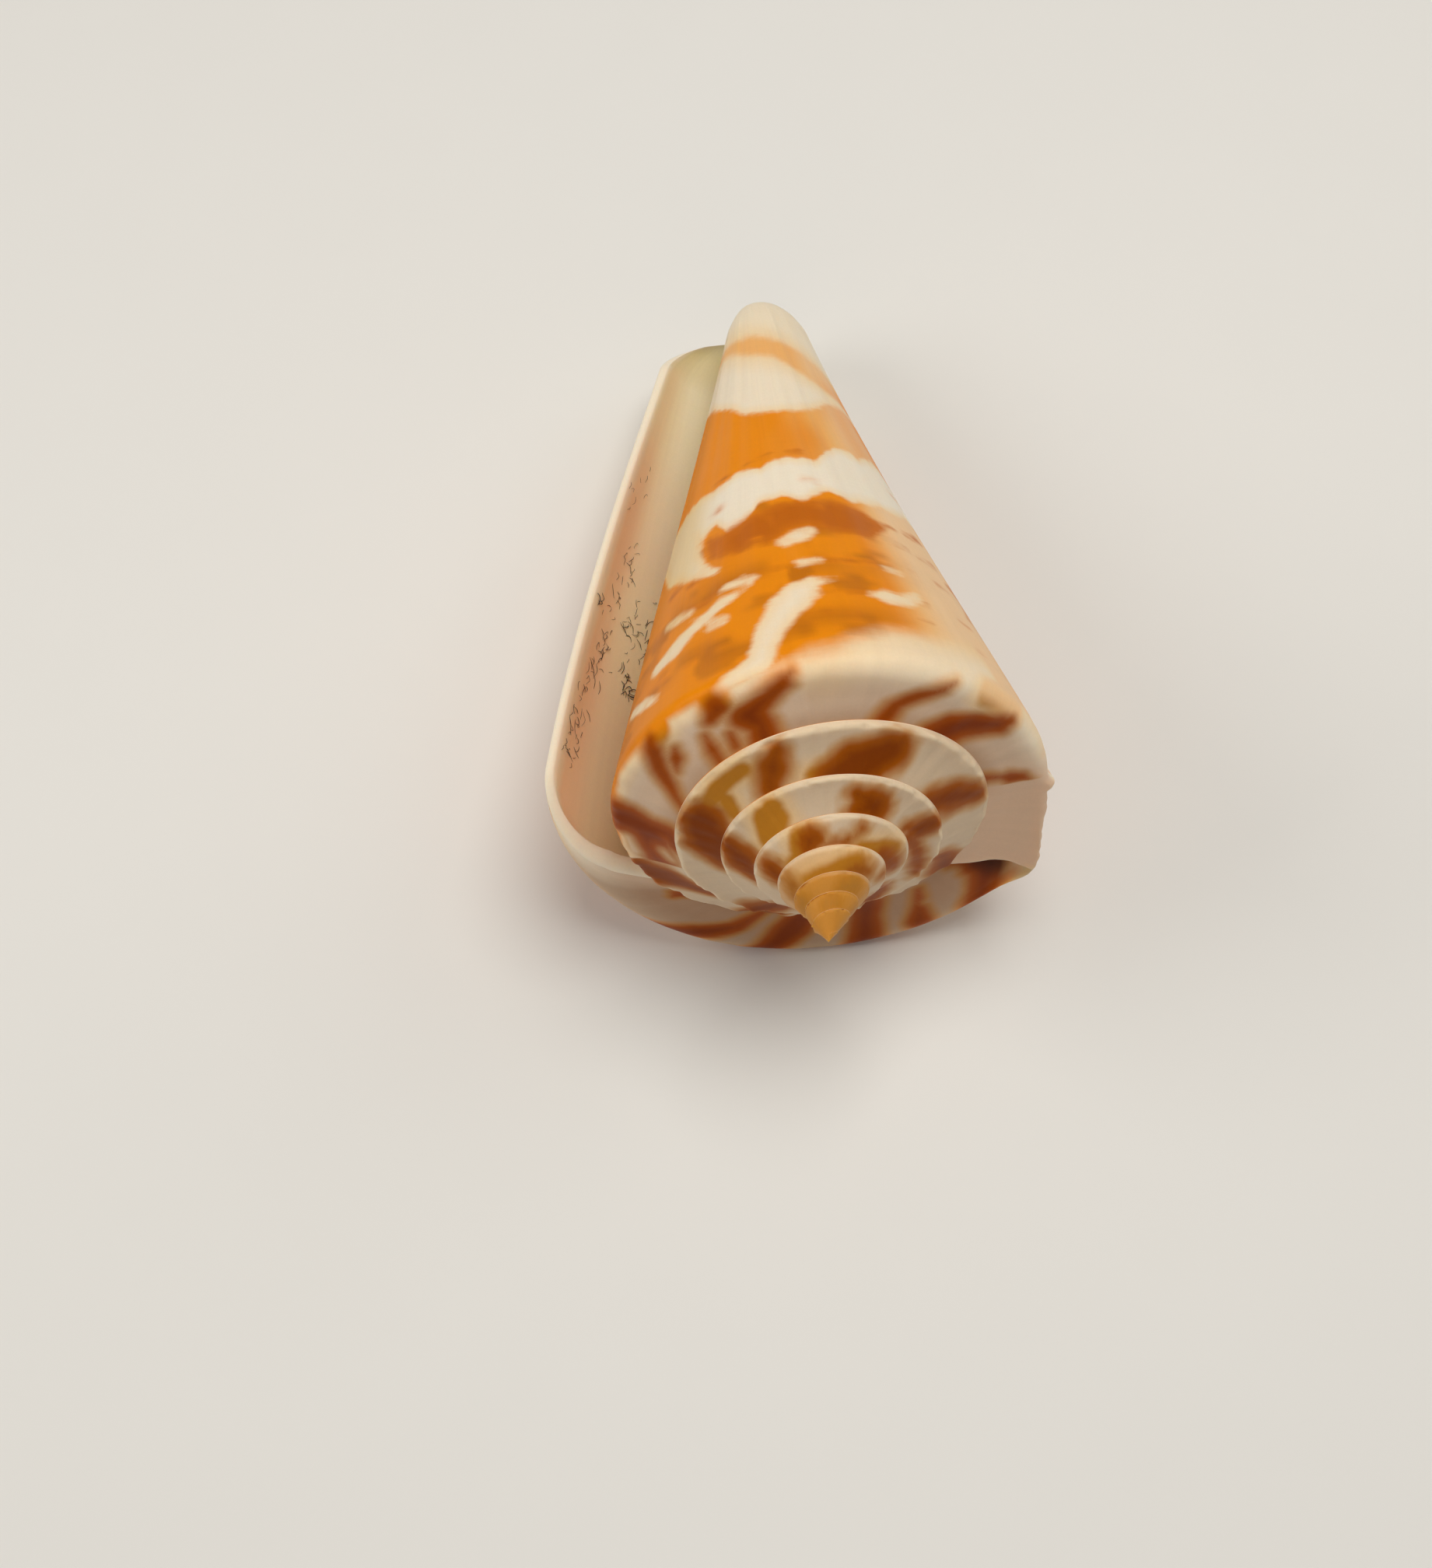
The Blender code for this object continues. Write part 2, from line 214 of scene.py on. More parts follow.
def whorlProfile(u, v, inset=0.0, start=2.0):
    # Radius and height along one whorl: a slightly hollow ramp from the older whorl, a cubic shoulder, the
    # bowed side, and a quarter of an ellipse over the point. inset moves it into the wall for the hollow.
    form = shellForm
    size = shoulderSoftness(u)
    sideEnd = form["pointEnd"] - (form["pointEnd"] - form["lipEnd"]) * frontMargin(u)[1]
    shoulderShare = size / form["bodyLength"]

    older = shoulderSoftness(u + 1) / form["bodyLength"]
    sr, sz = sidePoint(u + 1, older + (form["pointEnd"] - older) * (start - 2.0))
    first = u > form["spireWhorls"] - 1
    sr, sz = np.where(first, 0.0, sr), np.where(first, -form["spireDepth"][-1], sz)

    cr, cz = shoulderRadius(u) - 1.15 * inset, -shoulderDepth(u) - inset
    dr, dz = cr - sr, cz - sz
    width = np.maximum(np.hypot(dr, dz), 1e-6)
    share = np.clip(1 - size / width, 0.3, 1)
    sag = form["rampSag"] * width * 4
    w = np.clip(v, 0, 1) * share
    ramp = (sr + dr * w, sz + dz * w - sag * w * (1 - w))

    ar, az = sr + dr * share, sz + dz * share - sag * share * (1 - share)
    tr, tz = dr, dz - sag * (1 - 2 * share)
    tn = np.maximum(np.hypot(tr, tz), 1e-6)
    br, bz = sidePoint(u, shoulderShare)
    er, ez = sidePoint(u, shoulderShare + 0.01)
    en = np.hypot(er - br, ez - bz)
    leave = (ar + 0.6 * size * tr / tn, az + 0.6 * size * tz / tn)
    br = br - inset
    meet = (br - 0.6 * size * (er - br - inset) / en, bz - 0.6 * size * (ez - bz) / en)
    w = np.clip(v - 1, 0, 1)
    shoulder = [
        (1 - w) ** 3 * a + 3 * w * (1 - w) ** 2 * b + 3 * w**2 * (1 - w) * c + w**3 * d
        for a, b, c, d in zip((ar, az), leave, meet, (br, bz))
    ]

    w = np.clip(v - 2, 0, 1)
    sideR, sideZ = sidePoint(u, shoulderShare + (sideEnd - shoulderShare) * w)

    back, notch = frontMargin(u)
    er, ez = sidePoint(u, sideEnd)
    gap = (0.5 * back + 0.4 * notch) * (er - form["ring"] - 0.6)
    fr = form["ring"] + gap - inset * gap / (gap + 2 * inset + 1e-9)
    closed = -form["spireDepth"][0] - form["bodyLength"] * form["pointEnd"] - form["pointDome"]
    fz = closed + (ez - 0.4 * form["pointDome"] - closed) * notch
    w = np.clip(v - 3, 0, 1) * pi / 2
    lean = (form["shoulderRadius"] - form["tipRadius"]) / form["bodyLength"] * (ez - fz)
    pointR = fr + (er - inset - fr) * np.cos(w) - lean * np.sin(w) * (1 - w / (pi / 2))
    pointZ = ez + (fz - ez) * np.sin(w)
    pick = [v <= 1, v <= 2, v <= 3]
    return (
        np.select(pick, [ramp[0], shoulder[0], sideR - inset], pointR),
        np.select(pick, [ramp[1], shoulder[1], sideZ], pointZ),
    )


def sweep(u, r, z):
    # turns radius and height at turn u into a point, with the slight lean of the tip and of the first whorls
    form = shellForm
    angle = form["lipAngle"] + 2 * pi * u
    lean = form["tipBend"] * np.clip((-z - form["spireDepth"][0]) / form["bodyLength"], 0, 1.1) ** 2
    lean = lean - form["apexBend"] * np.clip(1 + z / 4, 0, 1) ** 2
    return np.stack([r * np.cos(angle) + lean, r * np.sin(angle), z], axis=-1)


def lipTurn(u, v):
    # the lip runs ahead of its own end at the suture, its front corner is rounded back, and beside the suture
    # it first follows the older whorl back
    ahead = np.sin(np.clip(v / 2, 0, 1) * pi / 2) - 1.3 * np.clip((v - 2.75) / 1.25, 0, 1) ** 2
    ahead = ahead - shellRelief["lipRetreat"] * between(v, 0.0, 0.15) * (1 - between(v, 0.8, 2.2))
    return u - shellForm["lipAdvance"] * ahead * np.clip(1 - u / 0.3, 0, 1) ** 2


def breakEdge(v):
    # the turn at which the old lip's edge lies: it reaches further beside the suture
    hook = between(v, 0.0, 0.06) * (1 - between(v, 0.0, 0.8))
    teeth = 0.05 * wander(v * 9, 3.5, 41) * between(v, 0.1, 0.3) * (1 - between(v, 1.5, 2.0))
    return shellRelief["breakRow"] / shellSteps["rows"] - shellRelief["breakHook"] * (hook + teeth)


def relief(u, v):
    # Outward and upward moves of the skin. Slow swellings follow the growth lines, the spire's shoulders are
    # beaded, and behind the old break the ramp drops away under a scalloped free edge. All fade at the seams.
    size = shellRelief
    onSide = between(v, 1.5, 2.3) * (1 - between(v, 3.0, 3.7)) * np.clip((1 - u) / 0.08, 0, 1)
    out = size["growthSwell"] * wander(u * 60, v * 1.5, 11) * onSide
    onRamp = between(v, 0.0, 0.35) * (1 - between(v, 1.0, 1.9))
    up = size["rampSwell"] * wander(u * 90, v * 0.8, 12) * onRamp * np.clip(shoulderRadius(u) / 10, 0, 1)

    onEdge = hump(v, 1.35, 0.33) * (1 - between(v, 1.75, 2.0))
    beads = wander(u * 64, 0.5, 13) + 0.6 * wander(u * 150, 0.5, 14)
    small = np.clip(shoulderRadius(u) / 8, 0.2, 1)
    bead = size["crenulation"] * beads * onEdge * between(u, 0.5, 0.9) * small
    out, up = out + bead, up + 0.8 * bead
    early = between(u, 2.8, 4.5) * np.clip(shellForm["spireWhorls"] - u, 0, 1)
    notch = size["earlyBeads"] * wander(u * 33, 1.5, 16) * onEdge * early
    out = out + notch
    up = up + notch + size["earlySwell"] * early * shoulderRadius(u) * np.sin(pi * np.clip(v / 1.3, 0, 1))

    edge = breakEdge(v)
    behind = np.clip((u - edge) * shellSteps["rows"], 0, 1)
    rim = between(v, 0.85, 1.3) * (1 - between(v, 1.9, 2.5))
    corner = size["breakCorner"] * hump(u, *size["cornerAt"])
    dip = size["breakDip"] * hump(u, *size["dipAt"])
    teeth = size["breakScallop"] * wander(u * 210, 1.5, 15) * (1 - between(u, 0.42, 0.45))
    tooth = size["breakTooth"] * hump(u, *size["toothAt"])
    out = out + rim * (corner - dip + behind * teeth + tooth)
    drop = between(v, 0.05, 0.3) * (1 - between(v, 1.1, 1.55))
    up = up - size["breakDrop"] * drop * (1 - behind) * np.exp(-np.abs(edge - u) / size["breakFade"])
    return out, up


def outerSkin(u, v):
    # the outside: the swept profile plus its relief
    u, v = np.broadcast_arrays(np.asarray(u, dtype=float), np.asarray(v, dtype=float))
    at = lipTurn(u, v)
    r, z = whorlProfile(at, v)
    out, up = relief(u, v)
    return sweep(at, r + out, z + up)


def innerSkin(u, v):
    # the inside of the mouth: the profile moved in by the wall, closing onto the older whorl as it goes in
    form = shellForm
    u, v = np.broadcast_arrays(np.asarray(u, dtype=float), np.asarray(v, dtype=float))
    at = lipTurn(u, v)
    wall = form["lipEdge"] + (form["wall"] - form["lipEdge"]) * (1 - np.exp(-u / 0.06))
    oldR, oldZ = whorlProfile(at + 1, np.maximum(v, form["innerStart"]))
    newR, newZ = whorlProfile(at, v, inset=wall, start=form["innerStart"])
    underBreak = hump(u, *shellRelief["underAt"]) * between(v, 0.05, 0.3) * (1 - between(v, 2.0, 2.5))
    newZ = newZ - shellRelief["underShare"] * shellRelief["breakDrop"] * underBreak
    thinnest = oldR + 0.35 * (whorlProfile(at, v)[0] - oldR)
    old = sweep(at, oldR, oldZ)
    new = sweep(at, np.where(v > 2, np.maximum(newR, thinnest), newR), newZ)
    opened = (1 - (u / form["mouthDepth"]) ** 6)[..., None]
    return np.where((v <= 0)[..., None], old, old + (new - old) * opened)


def layDown(points):
    # turns shell points so that the chosen side is down and moves the apex to its place, in metres
    form = shellForm
    down = (math.cos(form["downAngle"]), math.sin(form["downAngle"]))
    shell = np.array([[down[0], down[1], 0], [-down[1], down[0], 0], [0, 0, 1]])
    c, s = math.cos(form["downSlope"]), math.sin(form["downSlope"])
    world = np.array([[0, 1, 0], [-s, 0, -c], [-c, 0, s]])
    return (points @ (world @ shell).T + np.array(form["apexPlace"])) * mm


# Markings. Strokes are lines of (turn, place along the profile, half width in mm) on the unrolled shell, and
# band lines are (turn, place). The strokes are the side that shows; the rest follows the same habits.
shellMarks = {
    "upperTop": ((0, 1.7), (0.2, 1.6), (0.45, 1.8), (0.53, 2.0), (0.56, 2.08), (0.60, 2.05), (0.64, 2.045),
                 (0.67, 2.02), (0.70, 1.98), (0.715, 1.8), (0.74, 1.6), (0.78, 1.45), (0.9, 1.5), (1, 1.5)),
    "upperFoot": ((0, 2.38), (0.2, 2.42), (0.45, 2.40), (0.53, 2.43), (0.56, 2.42), (0.62, 2.405),
                  (0.645, 2.415), (0.66, 2.40), (0.68, 2.385), (0.70, 2.405), (0.72, 2.395), (0.74, 2.375),
                  (0.76, 2.355), (0.78, 2.385), (0.80, 2.37), (0.84, 2.40), (1, 2.40)),
    "lowerTop": ((0, 2.50), (0.2, 2.53), (0.4, 2.55), (0.53, 2.58), (0.58, 2.57), (0.62, 2.555),
                 (0.64, 2.515), (0.65, 2.50), (0.67, 2.515), (0.69, 2.53), (0.71, 2.525), (0.722, 2.50), (0.74, 2.505),
                 (0.76, 2.51), (0.78, 2.50), (0.88, 2.50), (1, 2.49)),
    "lowerFoot": ((0, 2.70), (0.2, 2.72), (0.45, 2.74), (0.54, 2.735), (0.57, 2.73), (0.60, 2.70),
                  (0.64, 2.675), (0.70, 2.675), (0.74, 2.69), (0.765, 2.715), (0.79, 2.735), (0.82, 2.755),
                  (0.86, 2.78), (1, 2.82)),
    "tipBand": ((0, 2.84), (0.5, 2.80), (0.56, 2.82), (0.60, 2.85), (0.66, 2.885), (0.72, 2.905),
                (0.80, 2.93), (1, 2.95)),
    "tipBandHalf": ((0, 0.03), (0.5, 0.045), (0.56, 0.05), (0.66, 0.035), (0.74, 0.028), (0.84, 0.012),
                    (1, 0.01)),
    # how deep the orange is along each band, from peach at 0 to orange at 1
    "upperDepth": ((0, 0.8), (0.3, 0.9), (0.48, 0.7), (0.53, 0.45), (0.60, 0.25), (0.615, 0.6), (0.63, 0.95),
                   (0.8, 1), (0.86, 0.95), (1, 0.9)),
    "lowerDepth": ((0, 0.8), (0.4, 0.85), (0.53, 0.85), (0.555, 0.75), (0.58, 0.35), (0.60, 0.2),
                   (0.63, 0.35), (0.65, 0.7), (0.68, 0.9), (0.72, 1), (1, 1)),
    "bodyWhite": (
        ((0.77, 1.5, 0.25), (0.748, 1.8, 0.5), (0.736, 2.0, 0.7), (0.727, 2.06, 0.75), (0.713, 2.11, 0.95),
         (0.70, 2.14, 1.0), (0.687, 2.165, 0.45), (0.668, 2.17, 0.15)),
        ((0.84, 2.115, 0.4), (0.815, 2.125, 0.65), (0.79, 2.15, 0.5), (0.762, 2.175, 0.35),
         (0.74, 2.19, 0.1)),
        ((0.776, 2.125, 0.33), (0.765, 2.125, 0.35)),
        ((0.835, 2.205, 0.3), (0.815, 2.197, 0.4), (0.80, 2.19, 0.2)),
        ((0.767, 2.205, 0.2), (0.748, 2.21, 0.3), (0.735, 2.205, 0.12)),
        ((0.695, 2.22, 0.33), (0.68, 2.22, 0.33)),
        ((0.875, 2.075, 0.3), (0.85, 2.055, 0.4), (0.83, 2.04, 0.2)),
        ((0.705, 2.283, 0.42), (0.692, 2.293, 0.62), (0.68, 2.303, 0.42)),
        ((0.643, 2.135, 0.25), (0.63, 2.13, 0.6), (0.615, 2.13, 0.5), (0.60, 2.15, 0.45)),
        ((0.62, 2.215, 0.2), (0.605, 2.21, 0.25)),
        ((0.775, 2.263, 0.25), (0.79, 2.275, 0.5), (0.81, 2.305, 0.9), (0.83, 2.35, 1.5), (0.85, 2.42, 2.0)),
        ((0.94, 2.06, 0.9), (0.97, 2.10, 1.3), (1.0, 2.13, 1.2)),
        ((0.93, 2.22, 0.7), (0.97, 2.26, 0.9), (1.0, 2.29, 0.7)),
    ),
    "bodyBrown": (
        ((0.785, 2.35, 0.5), (0.77, 2.32, 1.0), (0.745, 2.325, 1.5), (0.72, 2.33, 1.8), (0.70, 2.345, 1.7),
         (0.68, 2.35, 1.55), (0.65, 2.345, 1.7), (0.63, 2.34, 1.6), (0.613, 2.34, 1.0)),
        ((0.845, 2.07, 0.25), (0.82, 2.065, 0.25)),
        ((0.80, 2.064, 0.13), (0.79, 2.066, 0.13)),
        ((0.83, 2.09, 0.15), (0.815, 2.092, 0.15)),
        ((0.805, 2.20, 0.22), (0.785, 2.197, 0.25), (0.768, 2.205, 0.2)),
        ((0.737, 2.213, 0.2), (0.72, 2.213, 0.25), (0.702, 2.215, 0.15)),
        ((0.675, 2.223, 0.25), (0.65, 2.222, 0.25), (0.63, 2.222, 0.18)),
        ((0.697, 2.083, 0.15), (0.685, 2.083, 0.2), (0.66, 2.082, 0.18)),
        ((0.683, 2.135, 0.22), (0.672, 2.14, 0.2)),
        ((0.662, 2.135, 0.22), (0.65, 2.138, 0.2)),
        ((0.81, 2.264, 0.17), (0.797, 2.266, 0.13)),
        ((0.84, 2.28, 0.35), (0.825, 2.285, 0.3)),
        ((0.80, 2.36, 0.12), (0.79, 2.363, 0.2)),
        ((0.785, 2.425, 0.05), (0.777, 2.43, 0.12)),
        ((0.668, 2.455, 0.12), (0.66, 2.452, 0.06)),
        ((0.79, 2.512, 0.25), (0.77, 2.517, 0.2)),
        ((0.74, 2.53, 0.22), (0.725, 2.535, 0.2), (0.705, 2.54, 0.15)),
        ((0.68, 2.543, 0.2), (0.665, 2.54, 0.15)),
        ((0.61, 2.09, 0.13), (0.598, 2.09, 0.16)),
        ((0.60, 2.14, 0.2), (0.592, 2.142, 0.2)),
        ((0.60, 2.23, 0.13), (0.585, 2.231, 0.13)),
        ((0.555, 2.08, 0.16), (0.54, 2.082, 0.2)),
        ((0.553, 2.145, 0.16), (0.54, 2.147, 0.2)),
        ((0.555, 2.238, 0.2), (0.54, 2.24, 0.25)),
        ((0.60, 2.30, 0.12), (0.575, 2.303, 0.14)),
        ((0.60, 2.35, 0.12), (0.58, 2.355, 0.14)),
        ((0.56, 2.30, 0.14), (0.535, 2.305, 0.2)),
        ((0.56, 2.36, 0.2), (0.535, 2.37, 0.3)),
    ),
    "rampBrown": (
        ((1.01, 0.45, 0.9), (0.985, 0.5, 1.2), (0.95, 0.55, 1.6), (0.94, 0.9, 1.5), (0.93, 1.2, 1.0)),
        ((0.95, 0.0, 0.8), (0.935, 0.1, 0.8), (0.94, 0.5, 1.0)),
        ((0.882, 0.0, 0.3), (0.868, 0.35, 0.5), (0.857, 0.7, 0.6), (0.845, 1.05, 0.6), (0.838, 1.4, 0.4)),
        ((0.848, 0.42, 0.2), (0.837, 0.6, 0.5), (0.83, 0.76, 0.25)),
        ((0.805, 0.0, 0.35), (0.803, 0.3, 0.45), (0.80, 0.62, 0.2)),
        ((0.782, 0.1, 0.35), (0.779, 0.4, 0.3)),
        ((0.787, 0.85, 0.5), (0.777, 1.05, 0.75), (0.772, 1.2, 0.4)),
        ((0.752, 0.0, 0.9), (0.75, 0.3, 0.8), (0.757, 0.6, 1.1), (0.738, 0.85, 0.7), (0.722, 1.15, 0.5),
         (0.716, 1.4, 0.2)),
        ((0.636, 0.0, 0.6), (0.63, 0.4, 0.55), (0.612, 0.8, 0.5), (0.60, 1.1, 0.3), (0.595, 1.35, 0.12)),
        ((0.572, 0.0, 1.2), (0.564, 0.3, 1.2), (0.55, 0.6, 1.1), (0.536, 0.9, 0.9), (0.532, 1.15, 0.5),
         (0.534, 1.3, 0.2)),
        ((0.477, 0.0, 0.4), (0.47, 0.3, 0.3), (0.465, 0.5, 0.6), (0.462, 0.75, 0.45), (0.455, 0.92, 0.2)),
        ((0.345, 0.0, 1.6), (0.335, 0.35, 1.1), (0.338, 0.75, 1.2), (0.318, 1.2, 0.9), (0.305, 1.7, 0.8)),
        ((0.287, 0.35, 0.3), (0.277, 0.7, 0.5), (0.27, 1.0, 0.9)),
        ((0.245, 0.0, 1.2), (0.235, 0.6, 1.0), (0.23, 1.4, 1.2)),
        ((0.185, 0.0, 1.1), (0.175, 0.7, 1.4), (0.165, 1.5, 1.0)),
        ((0.14, 0.1, 0.5), (0.13, 0.7, 0.8), (0.11, 1.2, 1.2), (0.10, 1.8, 1.4)),
        ((0.055, 0.0, 0.8), (0.045, 0.25, 0.7), (0.05, 0.45, 0.2)),
    ),
    "rampWhite": (
        ((0.985, 0.2, 0.35), (0.975, 0.28, 0.3)),
        ((0.985, 0.93, 0.5), (0.965, 0.97, 0.4)),
        ((0.315, 0.45, 0.6), (0.30, 0.6, 0.8), (0.285, 0.7, 0.3)),
        ((0.11, 0.4, 0.7), (0.10, 0.6, 0.7)),
        ((0.205, 1.2, 0.7), (0.20, 1.7, 1.0)),
        ((0.075, 1.4, 0.6), (0.07, 2.0, 1.1)),
    ),
    "shoulderOrange": (
        ((0.833, 1.35, 0.4), (0.83, 1.7, 0.9), (0.83, 2.1, 1.2)),
        ((0.772, 1.2, 0.45), (0.776, 1.5, 0.8), (0.778, 2.0, 1.1)),
        ((0.563, 1.5, 0.7), (0.54, 1.8, 0.9), (0.53, 2.1, 1.2)),
    ),
    "spireBrown": (
        ((1.955, 0.05, 1.0), (1.92, 0.25, 1.7), (1.89, 0.55, 1.5), (1.875, 0.75, 0.9)),
        ((1.775, 0.05, 0.7), (1.757, 0.5, 0.9), (1.745, 0.85, 0.6), (1.74, 1.1, 0.25)),
        ((1.685, 0.0, 0.9), (1.65, 0.2, 1.6), (1.62, 0.55, 1.3), (1.61, 0.8, 0.7)),
        ((1.515, 0.0, 0.9), (1.49, 0.4, 1.2), (1.47, 0.85, 0.9)),
        ((1.37, 0.35, 0.7), (1.345, 0.85, 1.2), (1.335, 1.6, 1.1)),
        ((1.25, 0.2, 0.9), (1.235, 0.9, 1.1)),
        ((1.16, 0.2, 1.2), (1.145, 1.0, 1.4)),
        ((1.06, 0.3, 1.0), (1.03, 0.7, 1.5), (1.015, 1.2, 1.3)),
        ((2.955, 0.0, 0.9), (2.925, 0.4, 1.25), (2.905, 0.9, 0.9)),
        ((2.63, 0.1, 0.7), (2.607, 0.25, 1.1), (2.615, 0.4, 1.0), (2.645, 0.6, 0.5)),
        ((2.505, 0.15, 0.5), (2.48, 0.5, 0.95), (2.478, 0.85, 0.9)),
        ((2.48, 0.05, 0.5), (2.43, 0.25, 0.6), (2.39, 0.5, 0.6), (2.355, 0.9, 0.5)),
        ((2.30, 0.3, 0.7), (2.27, 0.8, 0.8)),
        ((2.13, 0.4, 1.1), (2.11, 0.9, 1.1)),
        ((3.90, 0.0, 0.75), (3.885, 0.45, 0.75), (3.878, 0.75, 0.4)),
        ((3.75, 0.1, 0.6), (3.738, 0.45, 0.8), (3.732, 0.8, 0.45)),
        ((3.70, 0.03, 0.25), (3.65, 0.12, 0.3), (3.625, 0.35, 0.22), (3.618, 0.7, 0.3)),
        ((3.51, 0.05, 0.7), (3.46, 0.2, 0.75), (3.42, 0.45, 0.5)),
        ((3.33, 0.5, 0.5), (3.32, 1.0, 0.5)),
        ((3.14, 0.3, 0.5), (3.12, 0.8, 0.6)),
        ((4.91, 0.15, 0.35), (4.87, 0.35, 0.5), (4.86, 0.6, 0.3)),
        ((4.61, 0.1, 0.35), (4.565, 0.25, 0.5), (4.52, 0.3, 0.35)),
        ((4.46, 0.8, 0.3), (4.45, 1.3, 0.3)),
        ((4.33, 0.4, 0.35), (4.31, 0.9, 0.3)),
        ((4.13, 0.4, 0.35), (4.11, 0.9, 0.3)),
        ((5.62, 0.3, 0.24), (5.56, 0.45, 0.22)),
        ((5.27, 0.3, 0.2), (5.22, 0.5, 0.2)),
        ((5.92, 0.3, 0.22), (5.87, 0.5, 0.2)),
        ((6.72, 0.4, 0.14), (6.66, 0.5, 0.13)),
        ((6.45, 0.4, 0.12), (6.4, 0.5, 0.12)),
    ),
    "spireTan": (
        ((1.86, 0.65, 0.4), (1.83, 0.75, 0.6), (1.79, 0.78, 0.5)),
        ((1.845, 0.05, 0.4), (1.835, 0.4, 0.5)),
        ((1.71, 0.05, 0.4), (1.68, 0.1, 0.3)),
        ((2.83, 0.0, 0.6), (2.80, 0.45, 0.95), (2.785, 0.75, 0.6)),
        ((3.83, 0.0, 0.2), (3.79, 0.0, 0.4), (3.76, 0.5, 0.7)),
        ((3.60, 0.0, 0.25), (3.55, 0.1, 0.5), (3.50, 0.5, 0.5)),
        ((4.80, 0.0, 0.3), (4.70, 0.1, 0.3), (4.60, 0.4, 0.5)),
    ),
    "backSpots": 70,   # white spots and streaks on the side that can't be seen
    "backDashes": 110,
    "seed": 7,
}

# Colours of the aragonite and of what coloured it.
shellColours = {
    "cream": "#F4E3C9",
    "coolWhite": "#F4E6D0",
    "oldCream": "#E9CB96",
    "peachGround": "#F3CFA2",
    "tipCream": "#F3E1C4",
    "rampWhite": "#DCBEA2",
    # painted shade for the ramp beside the suture
    "rampPaintedShade": "#C29E80",
    # painted shade for the ramp's down-facing part, darker and browner
    "limbShadeBrown": "#966238",
    "breakPink": "#E0BC9E",
    "spireWhite": "#D9C0A2",
    "apexTan": "#CC8C3A",
    "tanRim": "#BE7C20",
    "rimPale": "#EED8B8",
    "peach": "#F4BC70",
    "orange": "#EE8C00",
    "deepOrange": "#DC7C00",
    "tongue": "#C06C04",
    "tipPeach": "#F2AB68",
    "blotchBrown": "#CC6C00",
    "rampBrown": "#A64C00",
    "spireBrown": "#A65400",
    # painted shadow for the brown mark in the hollow under the old break
    "hollowShadowBrown": "#5C2A0A",
    "lipCream": "#F6E6CE",
    "lipPeach": "#F6D2A8",
    "mouthBeige": "#FAE6BE",
    "mouthCream": "#FDF0D2",
    "mouthYellow": "#EADFB6",
}
shellColours = {name: np.array(linearColour(code)) for name, code in shellColours.items()}


def bandLine(u, name):
    line = np.array(shellMarks[name])
    return np.interp(u, line[:, 0], line[:, 1])


def profileLength(u, v):
    # millimetres along the profile from the suture to v, taking each stretch as even
    ramp = np.maximum(shoulderRadius(u) - shoulderRadius(u + 1), 0.05) * 1.05
    shoulder = 1.2 * shoulderSoftness(u) + 0.1
    side = shellForm["bodyLength"] * 0.95
    return (
        ramp * np.clip(v, 0, 1) + shoulder * np.clip(v - 1, 0, 1) + side * np.clip(v - 2, 0, 1)
        + 5.0 * np.clip(v - 3, 0, 1)
    )


def strokeEdge(strokes, u, v, girth):
    # distance inside the nearest stroke, in mm: its half width there minus the distance to its line
    along = profileLength(u, v)
    edge = np.full(u.shape, -6.0)
    for stroke in strokes:
        line = np.array(stroke)
        places = profileLength(line[:, 0], line[:, 1])
        for i in range(len(line) - 1):
            px, py = (u - line[i, 0]) * girth, along - places[i]
            qx, qy = (line[i + 1, 0] - line[i, 0]) * girth, places[i + 1] - places[i]
            share = np.clip((px * qx + py * qy) / (qx**2 + qy**2 + 1e-9), 0, 1)
            width = line[i, 2] + (line[i + 1, 2] - line[i, 2]) * share
            edge = np.maximum(edge, width - np.hypot(px - share * qx, py - share * qy))
    return edge


def backStrokes(count, spread, halfWidths, lengths, rows, seed):
    # strokes along the spiral at random places of the side that can't be seen, many of them in the same rows
    rng = np.random.default_rng(seed)
    u = rng.uniform(*spread, count)
    v = rng.choice(rows, count) + rng.normal(0, 0.012, count)
    half, length = rng.uniform(*halfWidths, count), rng.uniform(*lengths, count) / 2
    tilt = rng.normal(0, 0.012, count)
    return [
        ((a - d, b - t, 0.6 * h), (a, b, h), (a + d, b + t, 0.5 * h))
        for a, b, h, d, t in zip(u, v, half, length, tilt)
    ]


def mixed(a, b, share):
    return a + (b - a) * share[..., None]


